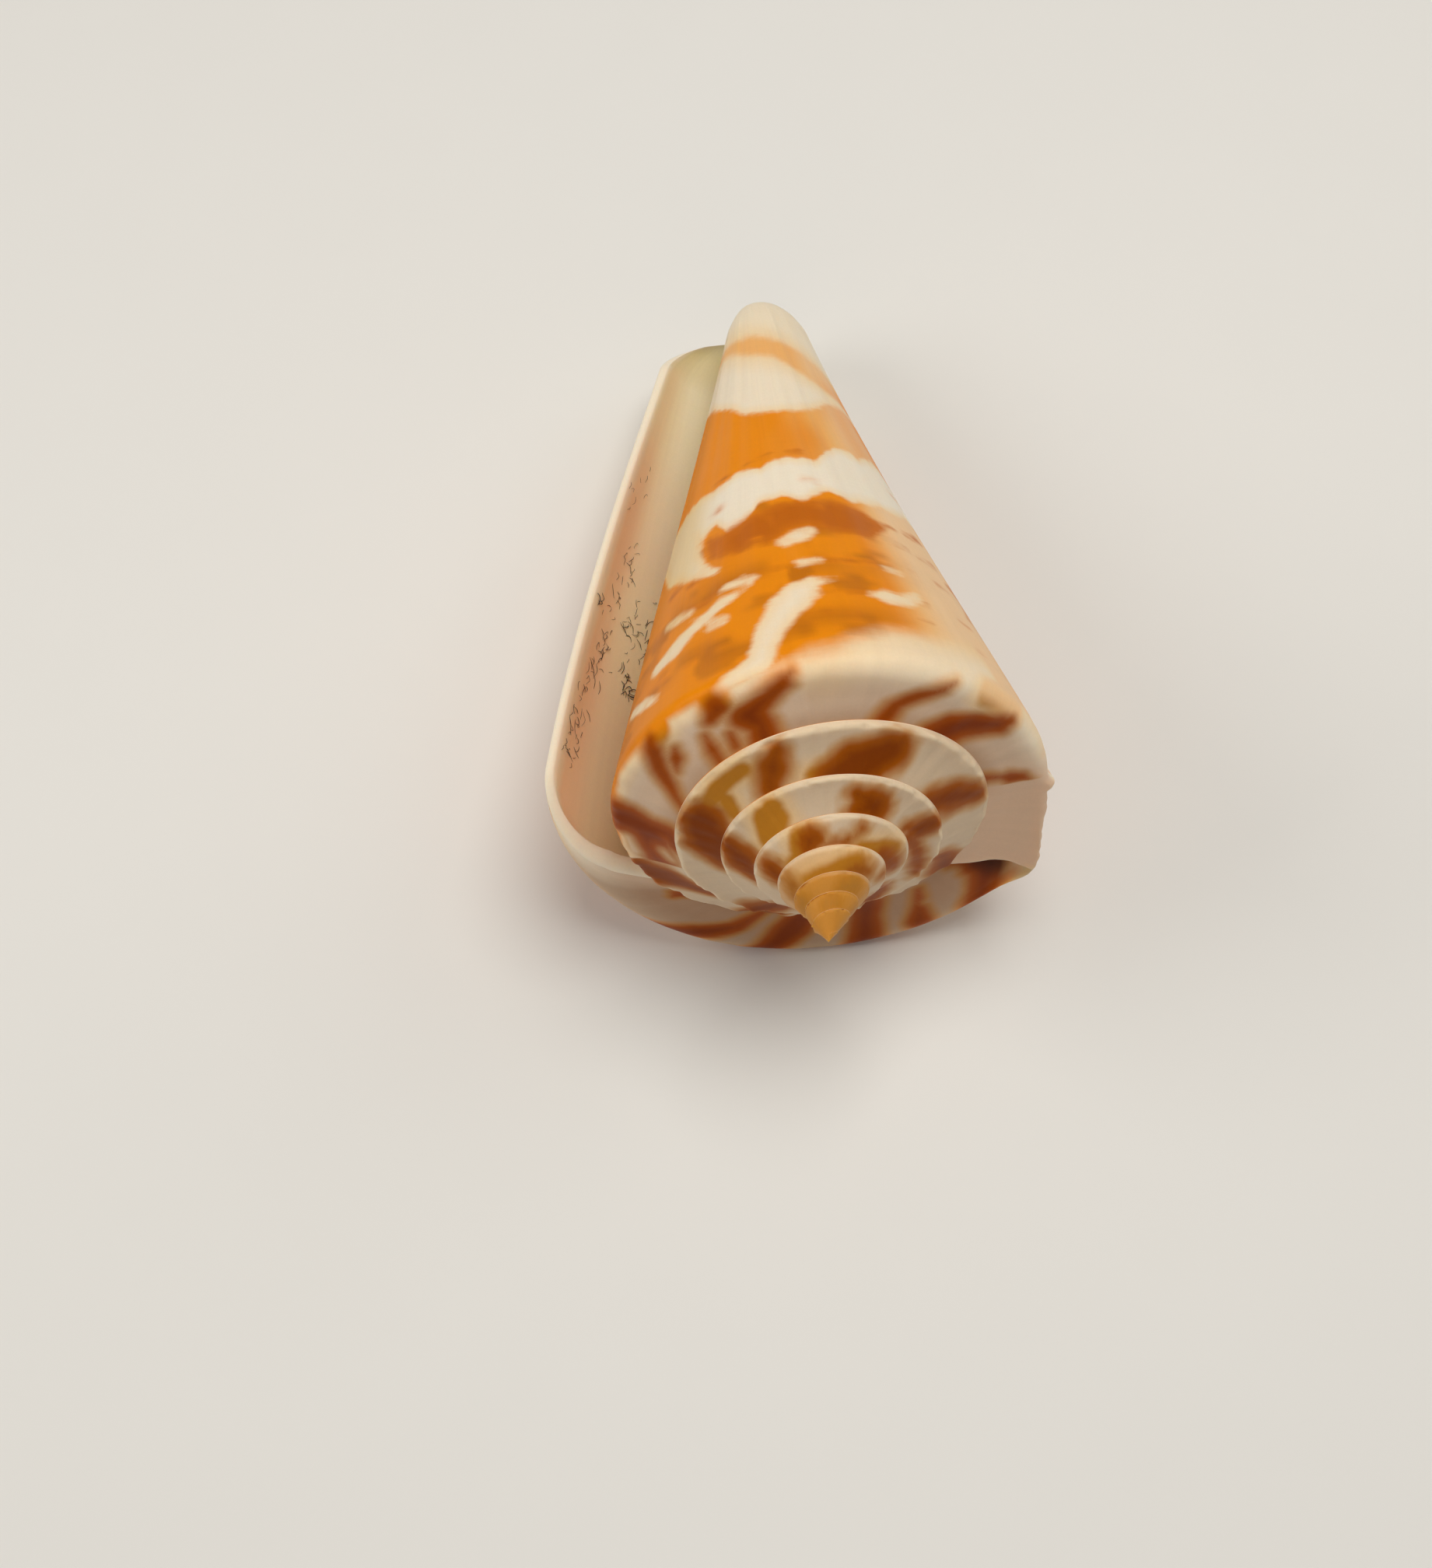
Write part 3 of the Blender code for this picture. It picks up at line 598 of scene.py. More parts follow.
def paintOuter(u, v):
    # Colours and edges at each point of the outside: the ground colour, the orange and brown that lie on it,
    # and how far inside an orange or a brown mark the point is, in mm.
    c = shellColours
    marks = shellMarks
    girth = 2 * pi * np.maximum(whorlProfile(u, v)[0], 0.3)
    along = profileLength(u, v)
    last = u < 1

    def inBand(low, high, lowFade=1.0):
        return np.minimum((along - profileLength(u, low)) * lowFade, profileLength(u, high) - along)

    wobble = 0.012 * wander(u * 40, v * 8, 21) + 0.006 * wander(u * 110, v * 20, 22)
    fade = 1 - 0.75 * between(u, 0.5, 0.56) * (1 - between(u, 0.70, 0.74))
    upper = inBand(bandLine(u, "upperTop"), bandLine(u, "upperFoot") + wobble, fade)
    lower = inBand(bandLine(u, "lowerTop") + wobble, bandLine(u, "lowerFoot") + 0.4 * wobble)
    lower = np.minimum(lower, 0.5 * (profileLength(u, bandLine(u, "lowerFoot")) - along))
    half = bandLine(u, "tipBandHalf")
    tip = 0.4 * inBand(bandLine(u, "tipBand") - half, bandLine(u, "tipBand") + half)

    rows = (2.03, 2.08, 2.14, 2.22, 2.27, 2.33, 2.38, 2.52)
    spots = backStrokes(marks["backSpots"], (0.0, 0.50), (0.25, 0.75), (0.008, 0.035), rows, marks["seed"])
    dashes = backStrokes(
        marks["backDashes"], (0.0, 0.525), (0.12, 0.35), (0.006, 0.03), rows, marks["seed"] + 1
    )
    white = strokeEdge(marks["bodyWhite"] + tuple(spots), u, v, girth)
    rampWhite = strokeEdge(marks["rampWhite"], u, v, girth)
    bodyBrown = strokeEdge(marks["bodyBrown"] + tuple(dashes), u, v, girth)
    veins = wander(u * 45, v * 26, 27) + 0.5 * wander(u * 120, v * 60, 33)
    bodyBrown = bodyBrown + (0.12 + 0.9 * between(bodyBrown, 0.3, 1.2)) * veins
    backBlotch = 1.6 * wander(u * 14, v * 9, 23) - 0.5 - 8 * between(u, 0.44, 0.52)
    bodyBrown = np.maximum(bodyBrown, np.minimum(backBlotch, np.minimum(upper, 9)))
    backWhite = 1.8 * wander(u * 17 + 3, v * 10, 24) - 0.75 - 8 * between(u, 0.44, 0.52)
    white = np.maximum(white, backWhite)

    rampBrown = np.minimum(strokeEdge(marks["rampBrown"], u, v, girth), -rampWhite)
    spireBrown = strokeEdge(marks["spireBrown"], u, v, girth)
    shoulderOrange = strokeEdge(marks["shoulderOrange"], u, v, girth)
    spireTan = strokeEdge(marks["spireTan"], u, v, girth)

    onBody = between(v, 1.55, 2.0)
    orange = np.maximum(np.maximum(upper, lower), np.maximum(tip, np.where(v < 2.15, shoulderOrange, -6)))
    orange = np.where(last, np.minimum(orange, -white), np.where(v < 2, spireTan, np.maximum(lower, upper)))
    sideBrown = np.maximum(np.minimum(bodyBrown, -white), np.where(v < 2.02, rampBrown, -6))
    brown = np.where(
        last,
        np.where(v < 1.6, rampBrown, sideBrown),
        np.where(v < 2, spireBrown, -6),
    )

    # ground: cooler on the ramp, with painted shade by the suture and where it faces down, whiter between the bands,
    # yellowed beside the mouth, peach down the right
    body = mixed(c["cream"], c["coolWhite"], between(v, 2.36, 2.44) * (1 - between(v, 2.52, 2.62)))
    besideMouth = 0.85 * between(u, 0.775, 0.83) * between(v, 2.1, 2.25) * (1 - between(v, 2.48, 2.6))
    body = mixed(body, c["oldCream"], besideMouth)
    downRight = 0.9 * (1 - between(u, 0.56, 0.63)) * (1 - between(v, 2.36, 2.44)) * between(v, 2.0, 2.1)
    body = mixed(body, c["peachGround"], downRight)
    body = mixed(body, c["tipCream"], between(v, 2.86, 3.0))
    # painted shade: the ramp is darker next to the suture, in its hollow, and lighter towards the shoulder
    ramp = mixed(c["rampPaintedShade"], c["rampWhite"], between(v, -0.1, 0.5))
    ramp = mixed(ramp, c["cream"], between(v, 0.6, 1.4) * (1 - 0.6 * between(u, 0.85, 0.95)))
    # painted shade: the ramp's down-facing part, turned away from the light, is painted a darker brown
    ramp = mixed(ramp, c["limbShadeBrown"], 0.6 * between(u, 0.0, 0.04) * (1 - between(u, 0.30, 0.40)))
    ramp = mixed(ramp, c["breakPink"], (u > breakEdge(v) + 0.001) * (1 - between(u, 0.44, 0.50)))
    ground = mixed(ramp, body, onBody)
    spire = mixed(c["spireWhite"], c["apexTan"], between(u, 4.2, 5.6))
    spire = mixed(spire, c["rimPale"], 0.5 * between(v, 1.0, 1.35) * (1 - between(u, 5, 6)))
    ground = np.where(last[..., None], ground, np.where((v < 2)[..., None], spire, body))

    depth = np.where(v < 2.45, bandLine(u, "upperDepth"), bandLine(u, "lowerDepth"))
    depth = 1.15 * depth + 0.2 * wander(u * 30, v * 12, 25)
    warm = mixed(c["peach"], c["orange"], np.clip(depth, 0, 1))
    deeper = np.clip(0.35 * wander(u * 22, v * 7, 26), 0, 1) + 0.5 * between(u, 0.80, 0.88)
    warm = mixed(warm, c["deepOrange"], deeper)
    warm = mixed(warm, c["tipPeach"] * 0.5 + c["peach"] * 0.5, between(v, 2.78, 2.84) * (tip > lower))
    tongues = wander(u * 26, v * 30, 28) + 0.6 * wander(u * 60, v * 55, 29)
    tongues = between(tongues, 0.05, 0.75) * between(v, 1.8, 2.1) * (1 - between(v, 2.42, 2.46))
    tongues = tongues * np.clip(depth, 0, 1)
    belts = hump(v, 2.215, 0.03) + hump(v, 2.075, 0.025)
    belts = 0.7 * belts * between(u, 0.60, 0.66) * between(wander(u * 34, v * 22, 30), -0.5, 0.4)
    warm = mixed(warm, c["tongue"], np.clip(0.8 * tongues + belts, 0, 0.9))
    paleSide = between(u, 0.50, 0.53) * (1 - between(u, 0.575, 0.62)) * np.where(v < 2.45, 0.8, 0.45)
    warm = mixed(warm, c["peachGround"], paleSide)
    warm = mixed(warm, c["tanRim"], (v < 2) * np.where(last, 1 - between(v, 0.9, 1.6), 1.0))

    dark = mixed(c["rampBrown"], c["blotchBrown"], between(v, 1.3, 1.9))
    # painted shadow: the brown mark is painted darker in the hollow under the old break's edge
    inHollowShadow = (u < breakEdge(v) + 0.001) * between(u, 0.322, 0.345) * (1 - between(v, 0.85, 1.2))
    dark = mixed(dark, c["hollowShadowBrown"], inHollowShadow)
    inner = mixed(c["spireBrown"], c["apexTan"] * 0.8, between(u, 4.0, 5.5))
    dark = np.where(last[..., None], dark, inner)

    # no marks on the pink stretch behind the break, nor on the spire's pale rims
    pink = (u > breakEdge(v) + 0.001) * (1 - between(u, 0.447, 0.459)) * (v < 1.7)
    brown = brown - 4 * pink
    brown = np.where(~last, brown - 0.15 * between(v, 1.05, 1.3) + 0.12 * wander(u * 90, v * 3, 32), brown)
    orange = orange - 4 * between(u, 0.36, 0.38) * (1 - between(u, 0.45, 0.48)) * (1 - between(v, 2.03, 2.15))
    glaze = between(u, 1.0, 1.06) * (v > 2)
    ground = mixed(ground, c["mouthCream"], glaze)
    return ground, warm, dark, orange - 3 * glaze, brown - 3 * glaze


def paintInner(u, v):
    # inside the mouth: a cream margin, a peach band behind it, then beige and cream, yellower towards the point, and
    # paler cream with a painted highlight at the end by the suture
    c = shellColours
    margin = 1 - between(u + 0.003 * wander(v * 9, 0.5, 31), 0.004, 0.013)
    peach = between(u, 0.006, 0.016) * (1 - between(u, 0.025, 0.055)) * (1 - 0.6 * between(v, 2.5, 2.95))
    ground = mixed(c["mouthBeige"], c["mouthCream"], between(u, 0.03, 0.09) * between(v, 2.3, 2.7))
    ground = mixed(ground, c["lipPeach"], peach)
    ground = mixed(ground, c["mouthYellow"], 0.7 * between(v, 2.95, 3.4))
    # the posterior end, by the suture, is paler cream: its own colour with a painted highlight
    ground = mixed(ground, c["mouthCream"], (1 - between(v, 1.6, 1.95)) * 0.8)
    ground = mixed(ground, c["lipCream"], margin)
    flat = np.full(u.shape, -3.0)
    return ground, ground, ground, flat, flat


def newSkin():
    return {"points": [], "places": [], "layers": [], "corners": [], "counts": [], "total": 0}


def addPoints(skin, points, u, v, layer):
    # adds points with their turn and place, and returns their numbers in the points' own arrangement
    u, v = np.broadcast_arrays(u, v)
    count = u.size
    skin["points"].append(points.reshape(-1, 3))
    skin["places"].append(np.stack([u.ravel(), v.ravel()], axis=1))
    skin["layers"].append(np.full(count, layer))
    numbers = (skin["total"] + np.arange(count)).reshape(u.shape)
    skin["total"] += count
    return numbers


def addFaces(skin, corners, flip=False):
    # corners is an array of faces by corner numbers
    corners = corners.reshape(-1, corners.shape[-1])
    if flip:
        corners = corners[:, ::-1]
    skin["corners"].append(corners.ravel())
    skin["counts"].append(np.full(len(corners), corners.shape[-1]))


def addGrid(skin, numbers, flip=False):
    # one four-cornered face between each two rows and columns
    corners = (numbers[:-1, :-1], numbers[1:, :-1], numbers[1:, 1:], numbers[:-1, 1:])
    addFaces(skin, np.stack(corners, axis=-1), flip)


def addStitch(skin, coarse, fine, flip=False):
    # joins a row of few points to one of many: each face takes one coarse step and the fine steps beside it
    ratio = (len(fine) - 1) // (len(coarse) - 1)
    starts = np.arange(len(coarse) - 1) * ratio
    steps = starts[:, None] + np.arange(ratio, -1, -1)[None, :]
    addFaces(skin, np.concatenate([coarse[:-1, None], coarse[1:, None], fine[steps]], axis=1), flip)


def shellColumns():
    steps = shellSteps
    arc = (1 - np.cos(np.linspace(0, pi, steps["seam"] + 1))) / 2
    ramp = np.linspace(0, 1, steps["ramp"] + 1)
    shoulder = 1 + np.arange(1, steps["shoulder"] + 1) / steps["shoulder"]
    upper = np.concatenate([ramp, shoulder])
    seam = 2 + (shellForm["innerStart"] - 2) * arc[1:-1]
    side = np.linspace(shellForm["innerStart"], 3, steps["side"] + 1)
    point = 3 + np.arange(1, steps["point"] + 1) / steps["point"]
    return upper, seam, np.concatenate([side, point]), arc


def makeSkin():
    # One closed skin of grids: last whorl, spire, the older whorl inside the mouth, the hollow, the rounded
    # lip, the front margin and the ring at the point. Grids meet on shared places and are merged afterwards.
    steps = shellSteps
    skin = newSkin()
    upper, seam, lower, arc = shellColumns()
    columns = np.concatenate([upper, seam, lower])
    rows = np.arange(steps["rows"] + 1) / steps["rows"]
    mouthRows = round(shellForm["mouthDepth"] * steps["rows"])
    ratio = steps["rows"] // steps["coarseRows"]
    deepFine = rows[:mouthRows + 1]
    deep = deepFine[::ratio]

    def add(surface, u, v, layer):
        u, v = np.broadcast_arrays(u, v)
        return addPoints(skin, surface(u, v), u, v, layer)

    # last whorl, its rows bent so that one of them follows the old break
    onBreak = hump(rows, rows[shellRelief["breakRow"]], shellRelief["bendWidth"])
    bend = onBreak[:, None] * (breakEdge(columns) - rows[shellRelief["breakRow"]])[None, :]
    bend[0], bend[-1] = 0.0, 0.0
    whorl = add(outerSkin, rows[:, None] + bend, columns[None, :], 0)
    addGrid(skin, whorl)

    # spire: two whorls with fine rows, then coarse ones, each stitched to its finer neighbour
    few = upper[::2]
    near = add(outerSkin, 1 + np.arange(1, 2 * steps["rows"] + 1)[:, None] / steps["rows"], few[None, :], 0)
    addGrid(skin, near)
    firstRow = add(outerSkin, np.array(1.0), upper, 0)
    addStitch(skin, near[0], firstRow, flip=True)
    coarseRows = 3 + np.arange((shellForm["spireWhorls"] - 3) * steps["coarseRows"] + 1) / steps["coarseRows"]
    far = add(outerSkin, coarseRows[:, None], few[None, :], 0)
    oneTurn = steps["coarseRows"]
    addGrid(skin, far[:oneTurn + 1, :-1])
    addGrid(skin, far[oneTurn:])
    suture = add(outerSkin, 3 + rows, np.array(2.0), 0)
    addStitch(skin, far[:oneTurn + 1, -2], suture)

    # the older whorl's side, inside the mouth, and the hollow's outer side
    parietal = add(outerSkin, 1 + deep[:, None], lower[None, :], 0)
    addGrid(skin, parietal)
    hollow = add(innerSkin, deep[:, None], columns[None, :], 1)
    addGrid(skin, hollow, flip=True)

    # the lip: half an ellipse from the outside to the inside
    outRail, inRail = outerSkin(0.0, columns), innerSkin(0.0, columns)
    across = np.array([math.sin(shellForm["lipAngle"]), -math.cos(shellForm["lipAngle"]), 0.0])
    ends = np.sin(np.linspace(0, pi, len(columns))) ** 0.5
    turn = arc[:, None, None]
    thick = shellRelief["lipRound"] + shellRelief["lipRoundBack"] * (1 - between(columns, 0.9, 1.9))
    bulge = 2 * np.sqrt(turn * (1 - turn)) * (thick * ends)[None, :, None]
    lip = outRail + (inRail - outRail) * turn + bulge * across
    lip[:, 0] = outerSkin(1.0, 2 + (shellForm["innerStart"] - 2) * arc)
    lipNumbers = addPoints(skin, lip, np.zeros(lip.shape[:2]), np.broadcast_to(columns, lip.shape[:2]), 2)
    addGrid(skin, lipNumbers)

    # the front margin, from the lip in to where the mouth closes
    outRail, inRail = outerSkin(deepFine, 4.0), innerSkin(deepFine, 4.0)
    ends = np.sin(np.linspace(0, pi, len(deepFine))) ** 0.5
    gap = np.linalg.norm(outRail - inRail, axis=1)
    bulge = 2 * np.sqrt(turn * (1 - turn)) * 0.25 * (ends * gap)[None, :, None]
    front = outRail + (inRail - outRail) * turn - bulge * np.array([0.0, 0.0, 1.0])
    frontTurns = deepFine[None, :] + np.zeros((len(arc) - 1, 1))
    frontNumbers = addPoints(skin, front[:-1], frontTurns, np.array(4.0), 2)
    addGrid(skin, frontNumbers)
    addStitch(skin, hollow[:, -1], frontNumbers[-1])

    # the ring at the very point
    ringTurns = np.concatenate([rows[mouthRows:], 1 + deep[1:-1]])
    ring = add(outerSkin, ringTurns, np.array(4.0), 0)
    addFaces(skin, ring[None, :])
    return skin


def paintSkin(u, v, layers):
    parts = [np.zeros((len(u), 3)) for _ in range(3)] + [np.zeros(len(u)) for _ in range(2)]
    for layer, paint in ((0, paintOuter), (1, paintInner)):
        here = layers == layer
        for part, values in zip(parts, paint(u[here], v[here])):
            part[here] = values
    lip = layers == 2
    for part in parts[:3]:
        part[lip] = shellColours["lipCream"]
    for part in parts[3:]:
        part[lip] = -3.0
    return parts


def addObject(name, data):
    made = bpy.data.objects.new(name, data)
    bpy.context.scene.collection.objects.link(made)
    return made


def makeShell():
    skin = makeSkin()
    points = layDown(np.concatenate(skin["points"]))
    points[:, 2] = np.maximum(points[:, 2], 0.0)  # the flat spot that it rests on
    corners = np.concatenate(skin["corners"])
    counts = np.concatenate(skin["counts"])
    places = np.concatenate(skin["places"])
    u, v = places[:, 0], places[:, 1]
    ground, warm, dark, orangeEdge, brownEdge = paintSkin(u, v, np.concatenate(skin["layers"]))

    data = bpy.data.meshes.new("shellSurface")
    data.vertices.add(len(points))
    data.vertices.foreach_set("co", points.astype(np.float32).ravel())
    data.loops.add(len(corners))
    data.loops.foreach_set("vertex_index", corners.astype(np.int32))
    data.polygons.add(len(counts))
    data.polygons.foreach_set("loop_start", np.concatenate([[0], np.cumsum(counts)[:-1]]).astype(np.int32))
    data.update(calc_edges=True)

    # millimetres round the shell and along the profile, for patterns that follow its growth
    growth = data.uv_layers.new(name="growth")
    flatMap = np.stack([u * 2 * pi * 10, profileLength(u, v)], axis=1)
    growth.data.foreach_set("uv", flatMap[corners].astype(np.float32).ravel())
    for name, values in (("ground", ground), ("orange", warm), ("brown", dark)):
        layer = data.attributes.new(name, "FLOAT_COLOR", "CORNER")
        rgba = np.concatenate([values[corners], np.ones((len(corners), 1))], axis=1)
        layer.data.foreach_set("color", rgba.astype(np.float32).ravel())
    soft = between(u, 0.5, 0.56) * (1 - between(u, 0.70, 0.74)) * (1 - between(v, 2.05, 2.15))
    ragged = 0.25 + 0.75 * between(v, 1.6, 2.1) * (u < 1) * (1 - soft) * (1 - 0.8 * between(v, 2.6, 2.8))
    edges = {"orangeEdge": orangeEdge, "brownEdge": brownEdge, "ragged": ragged}
    for name, values in edges.items():
        layer = data.attributes.new(name, "FLOAT", "CORNER")
        layer.data.foreach_set("value", values[corners].astype(np.float32))

    mesh = bmesh.new()
    mesh.from_mesh(data)
    bmesh.ops.remove_doubles(mesh, verts=mesh.verts[:], dist=5e-8)
    bmesh.ops.holes_fill(mesh, edges=[e for e in mesh.edges if e.is_boundary], sides=0)  # the very apex
    bmesh.ops.recalc_face_normals(mesh, faces=mesh.faces[:])
    openEdges = sum(not e.is_manifold for e in mesh.edges)
    mesh.to_mesh(data)
    mesh.free()
    data.shade_smooth()
    data.set_sharp_from_angle(angle=math.radians(48))
    triangles = sum(len(p.vertices) - 2 for p in data.polygons)
    print("shell skin:", triangles, "triangles,", openEdges, "open edges")
    return addObject("shellSurface", data)


def addNode(nodes, kind, settings=(), **links):
    # adds one node: settings are its own properties, links are socket names with a value or another socket
    node = nodes.new(kind)
    for name, value in dict(settings).items():
        setattr(node, name, value)
    for name, value in links.items():
        key = int(name[1:]) if name[0] == "i" and name[1:].isdigit() else name.replace("_", " ")
        socket = node.inputs[key]
        if isinstance(value, bpy.types.NodeSocket):
            node.id_data.links.new(value, socket)
        else:
            socket.default_value = value
    return node


shellFinish = {
    "ragged": 0.30,        # mm by which the edges of the marks wander
    "raggedGrain": 1.3,    # mm between those wanderings
    "softness": 0.24,      # mm over which a mark's edge fades
    "fringe": 1.1,         # mm of pale yellow stain outside an orange mark
    "brownRim": 0.45,      # mm over which a brown mark darkens from its tan rim
    "stainColour": "#F6C26A",
    "growthLine": 0.45,    # mm between growth lines; real ones are finer and would not show
    "spiralThread": 0.30,  # mm between the faint spiral threads
    "grain": 0.12,         # mm, the dull grain of an uncleaned dry surface
    "roughness": 0.36,
    "gloss": 0.09,         # the surface is dry and a little etched, so it shines less than polished aragonite
    "ior": 1.53,           # aragonite, the lowest of its three
}


def glossyAragonite():
    # Conch aragonite: a dense, slightly translucent porcelain with its colour grown in. It gives a soft, wide
    # gloss, stains with ragged edges along the spiral, and fine growth lines that only catch the light.
    look = shellFinish
    material = bpy.data.materials.new("glossyAragonite")
    material.use_nodes = True
    nodes, links = material.node_tree.nodes, material.node_tree.links
    shader = nodes["Principled BSDF"]

    def attribute(name):
        return addNode(nodes, "ShaderNodeAttribute", {"attribute_name": name})

    def maths(operation, a, b=0.0, c=0.0):
        return addNode(nodes, "ShaderNodeMath", {"operation": operation}, i0=a, i1=b, i2=c).outputs[0]

    place = addNode(nodes, "ShaderNodeTexCoord").outputs["Object"]
    growth = addNode(nodes, "ShaderNodeUVMap", {"uv_map": "growth"}).outputs["UV"]

    def noise(vector, scale, detail=2.0, roughness=0.55):
        return addNode(
            nodes, "ShaderNodeTexNoise", Vector=vector, Scale=scale, Detail=detail, Roughness=roughness
        ).outputs["Fac"]

    def stretched(alongSpiral, alongProfile):
        return addNode(
            nodes, "ShaderNodeMapping", Vector=growth, Scale=(1 / alongSpiral, 1 / alongProfile, 1)
        ).outputs["Vector"]

    # ragged edges: a round wander and one drawn out along the spiral
    roundWander = maths("SUBTRACT", noise(place, 1 / (look["raggedGrain"] * mm), 3.0), 0.5)
    drawnWander = maths("SUBTRACT", noise(stretched(1.6, look["spiralThread"]), 1.0, 2.0), 0.5)
    wanderBy = maths("ADD", maths("MULTIPLY", roundWander, 2.0), drawnWander)
    wanderBy = maths("MULTIPLY", wanderBy, maths("MULTIPLY", attribute("ragged").outputs["Fac"], look["ragged"]))

    def mask(edge, low, high):
        moved = maths("ADD", edge, wanderBy)
        return addNode(
            nodes, "ShaderNodeMapRange", {"interpolation_type": "SMOOTHSTEP"},
            Value=moved, From_Min=low, From_Max=high,
        ).outputs["Result"]

    def mix(a, b, share, blend="MIX"):
        node = addNode(nodes, "ShaderNodeMix", {"data_type": "RGBA", "blend_type": blend}, i0=share)
        for socket, value in ((node.inputs[6], a), (node.inputs[7], b)):
            if isinstance(value, bpy.types.NodeSocket):
                links.new(value, socket)
            else:
                socket.default_value = value
        return node.outputs[2]

    orangeEdge = attribute("orangeEdge").outputs["Fac"]
    brownEdge = attribute("brownEdge").outputs["Fac"]
    soft = look["softness"]
    stain = maths("MULTIPLY", mask(orangeEdge, -look["fringe"], soft), 0.45)
    colour = mix(attribute("ground").outputs["Color"], (*linearColour(look["stainColour"]), 1), stain)
    colour = mix(colour, attribute("orange").outputs["Color"], mask(orangeEdge, -soft, soft))
    rimShare = maths("MULTIPLY_ADD", attribute("ragged").outputs["Fac"], -0.6, 0.8)
    rim = maths("MULTIPLY", mask(brownEdge, -1.4 * look["brownRim"], 0.0), rimShare)
    colour = mix(colour, attribute("orange").outputs["Color"], rim)
    colour = mix(colour, attribute("brown").outputs["Color"], mask(brownEdge, -0.25, 0.45))
    core = mask(brownEdge, 0.2, 0.2 + 2 * look["brownRim"])
    core = maths("MULTIPLY", core, maths("MULTIPLY_ADD", attribute("ragged").outputs["Fac"], -0.9, 1.2))
    colour = mix(colour, mix(colour, (0.62, 0.5, 0.4, 1), 1.0, "MULTIPLY"), core)

    # growth lines across the spiral, spiral threads, and a mottled grain
    lines = noise(stretched(look["growthLine"], 14.0), 1.0, 3.0, 0.6)
    threads = noise(stretched(9.0, look["spiralThread"]), 1.0, 2.0)
    grain = noise(place, 1 / (look["grain"] * mm), 2.0)
    shade = maths("MULTIPLY_ADD", lines, 0.09, 0.955)
    shade = maths("MULTIPLY", shade, maths("MULTIPLY_ADD", threads, 0.03, 0.985))
    shade = maths("MULTIPLY", shade, maths("MULTIPLY_ADD", grain, 0.08, 0.96))
    colour = mix(colour, shade, 1.0, "MULTIPLY")
    links.new(colour, shader.inputs["Base Color"])

    rough = maths("MULTIPLY_ADD", noise(place, 1 / (2.5 * mm), 3.0), 0.16, look["roughness"] - 0.08)
    links.new(maths("MULTIPLY_ADD", grain, 0.08, rough), shader.inputs["Roughness"])
    shader.inputs["IOR"].default_value = look["ior"]
    shader.inputs["Specular IOR Level"].default_value = look["gloss"]
    shader.inputs["Subsurface Weight"].default_value = 0.35
    shader.inputs["Subsurface Radius"].default_value = (1.0, 0.75, 0.5)
    shader.inputs["Subsurface Scale"].default_value = 1.0 * mm

    height = maths("ADD", maths("MULTIPLY", lines, 0.6), maths("MULTIPLY", threads, 0.12))
    height = maths("ADD", height, maths("MULTIPLY", grain, 0.16))
    bump = addNode(nodes, "ShaderNodeBump", Strength=0.55, Distance=0.03 * mm, Height=height)
    links.new(bump.outputs["Normal"], shader.inputs["Normal"])
    return material


# Lint caught on the inner wall of the lip: groups of short curved fibres, by turn and place along the profile.
lintSizes = {
    "radius": (0.012, 0.020),  # mm
    "length": (0.30, 1.0),
    "sides": 5,
    "points": 11,
    # turn, place, spread in turns, spread along the profile, how many, how thick
    "groups": (
        (0.0660, 2.325, 0.0030, 0.010, 12, 1.6),
        (0.0620, 2.345, 0.0040, 0.012, 8, 1.2),
        (0.0340, 2.330, 0.0060, 0.030, 22, 1.0),
        (0.0180, 2.140, 0.0050, 0.045, 18, 1.0),
        (0.0450, 2.540, 0.0070, 0.030, 12, 0.9),
        (0.0590, 2.450, 0.0060, 0.030, 22, 1.0),
        (0.0240, 2.230, 0.0050, 0.030, 12, 1.0),
        (0.0100, 2.400, 0.0015, 0.006, 4, 1.6),
        (0.0300, 2.450, 0.0060, 0.030, 12, 0.9),
        (0.0770, 2.440, 0.0020, 0.035, 12, 1.4),
        (0.0100, 2.080, 0.0040, 0.020, 8, 0.9),
        (0.0150, 2.660, 0.0050, 0.020, 4, 0.8),
        (0.0350, 2.700, 0.0090, 0.060, 5, 0.7),
    ),
    "seed": 12,
}


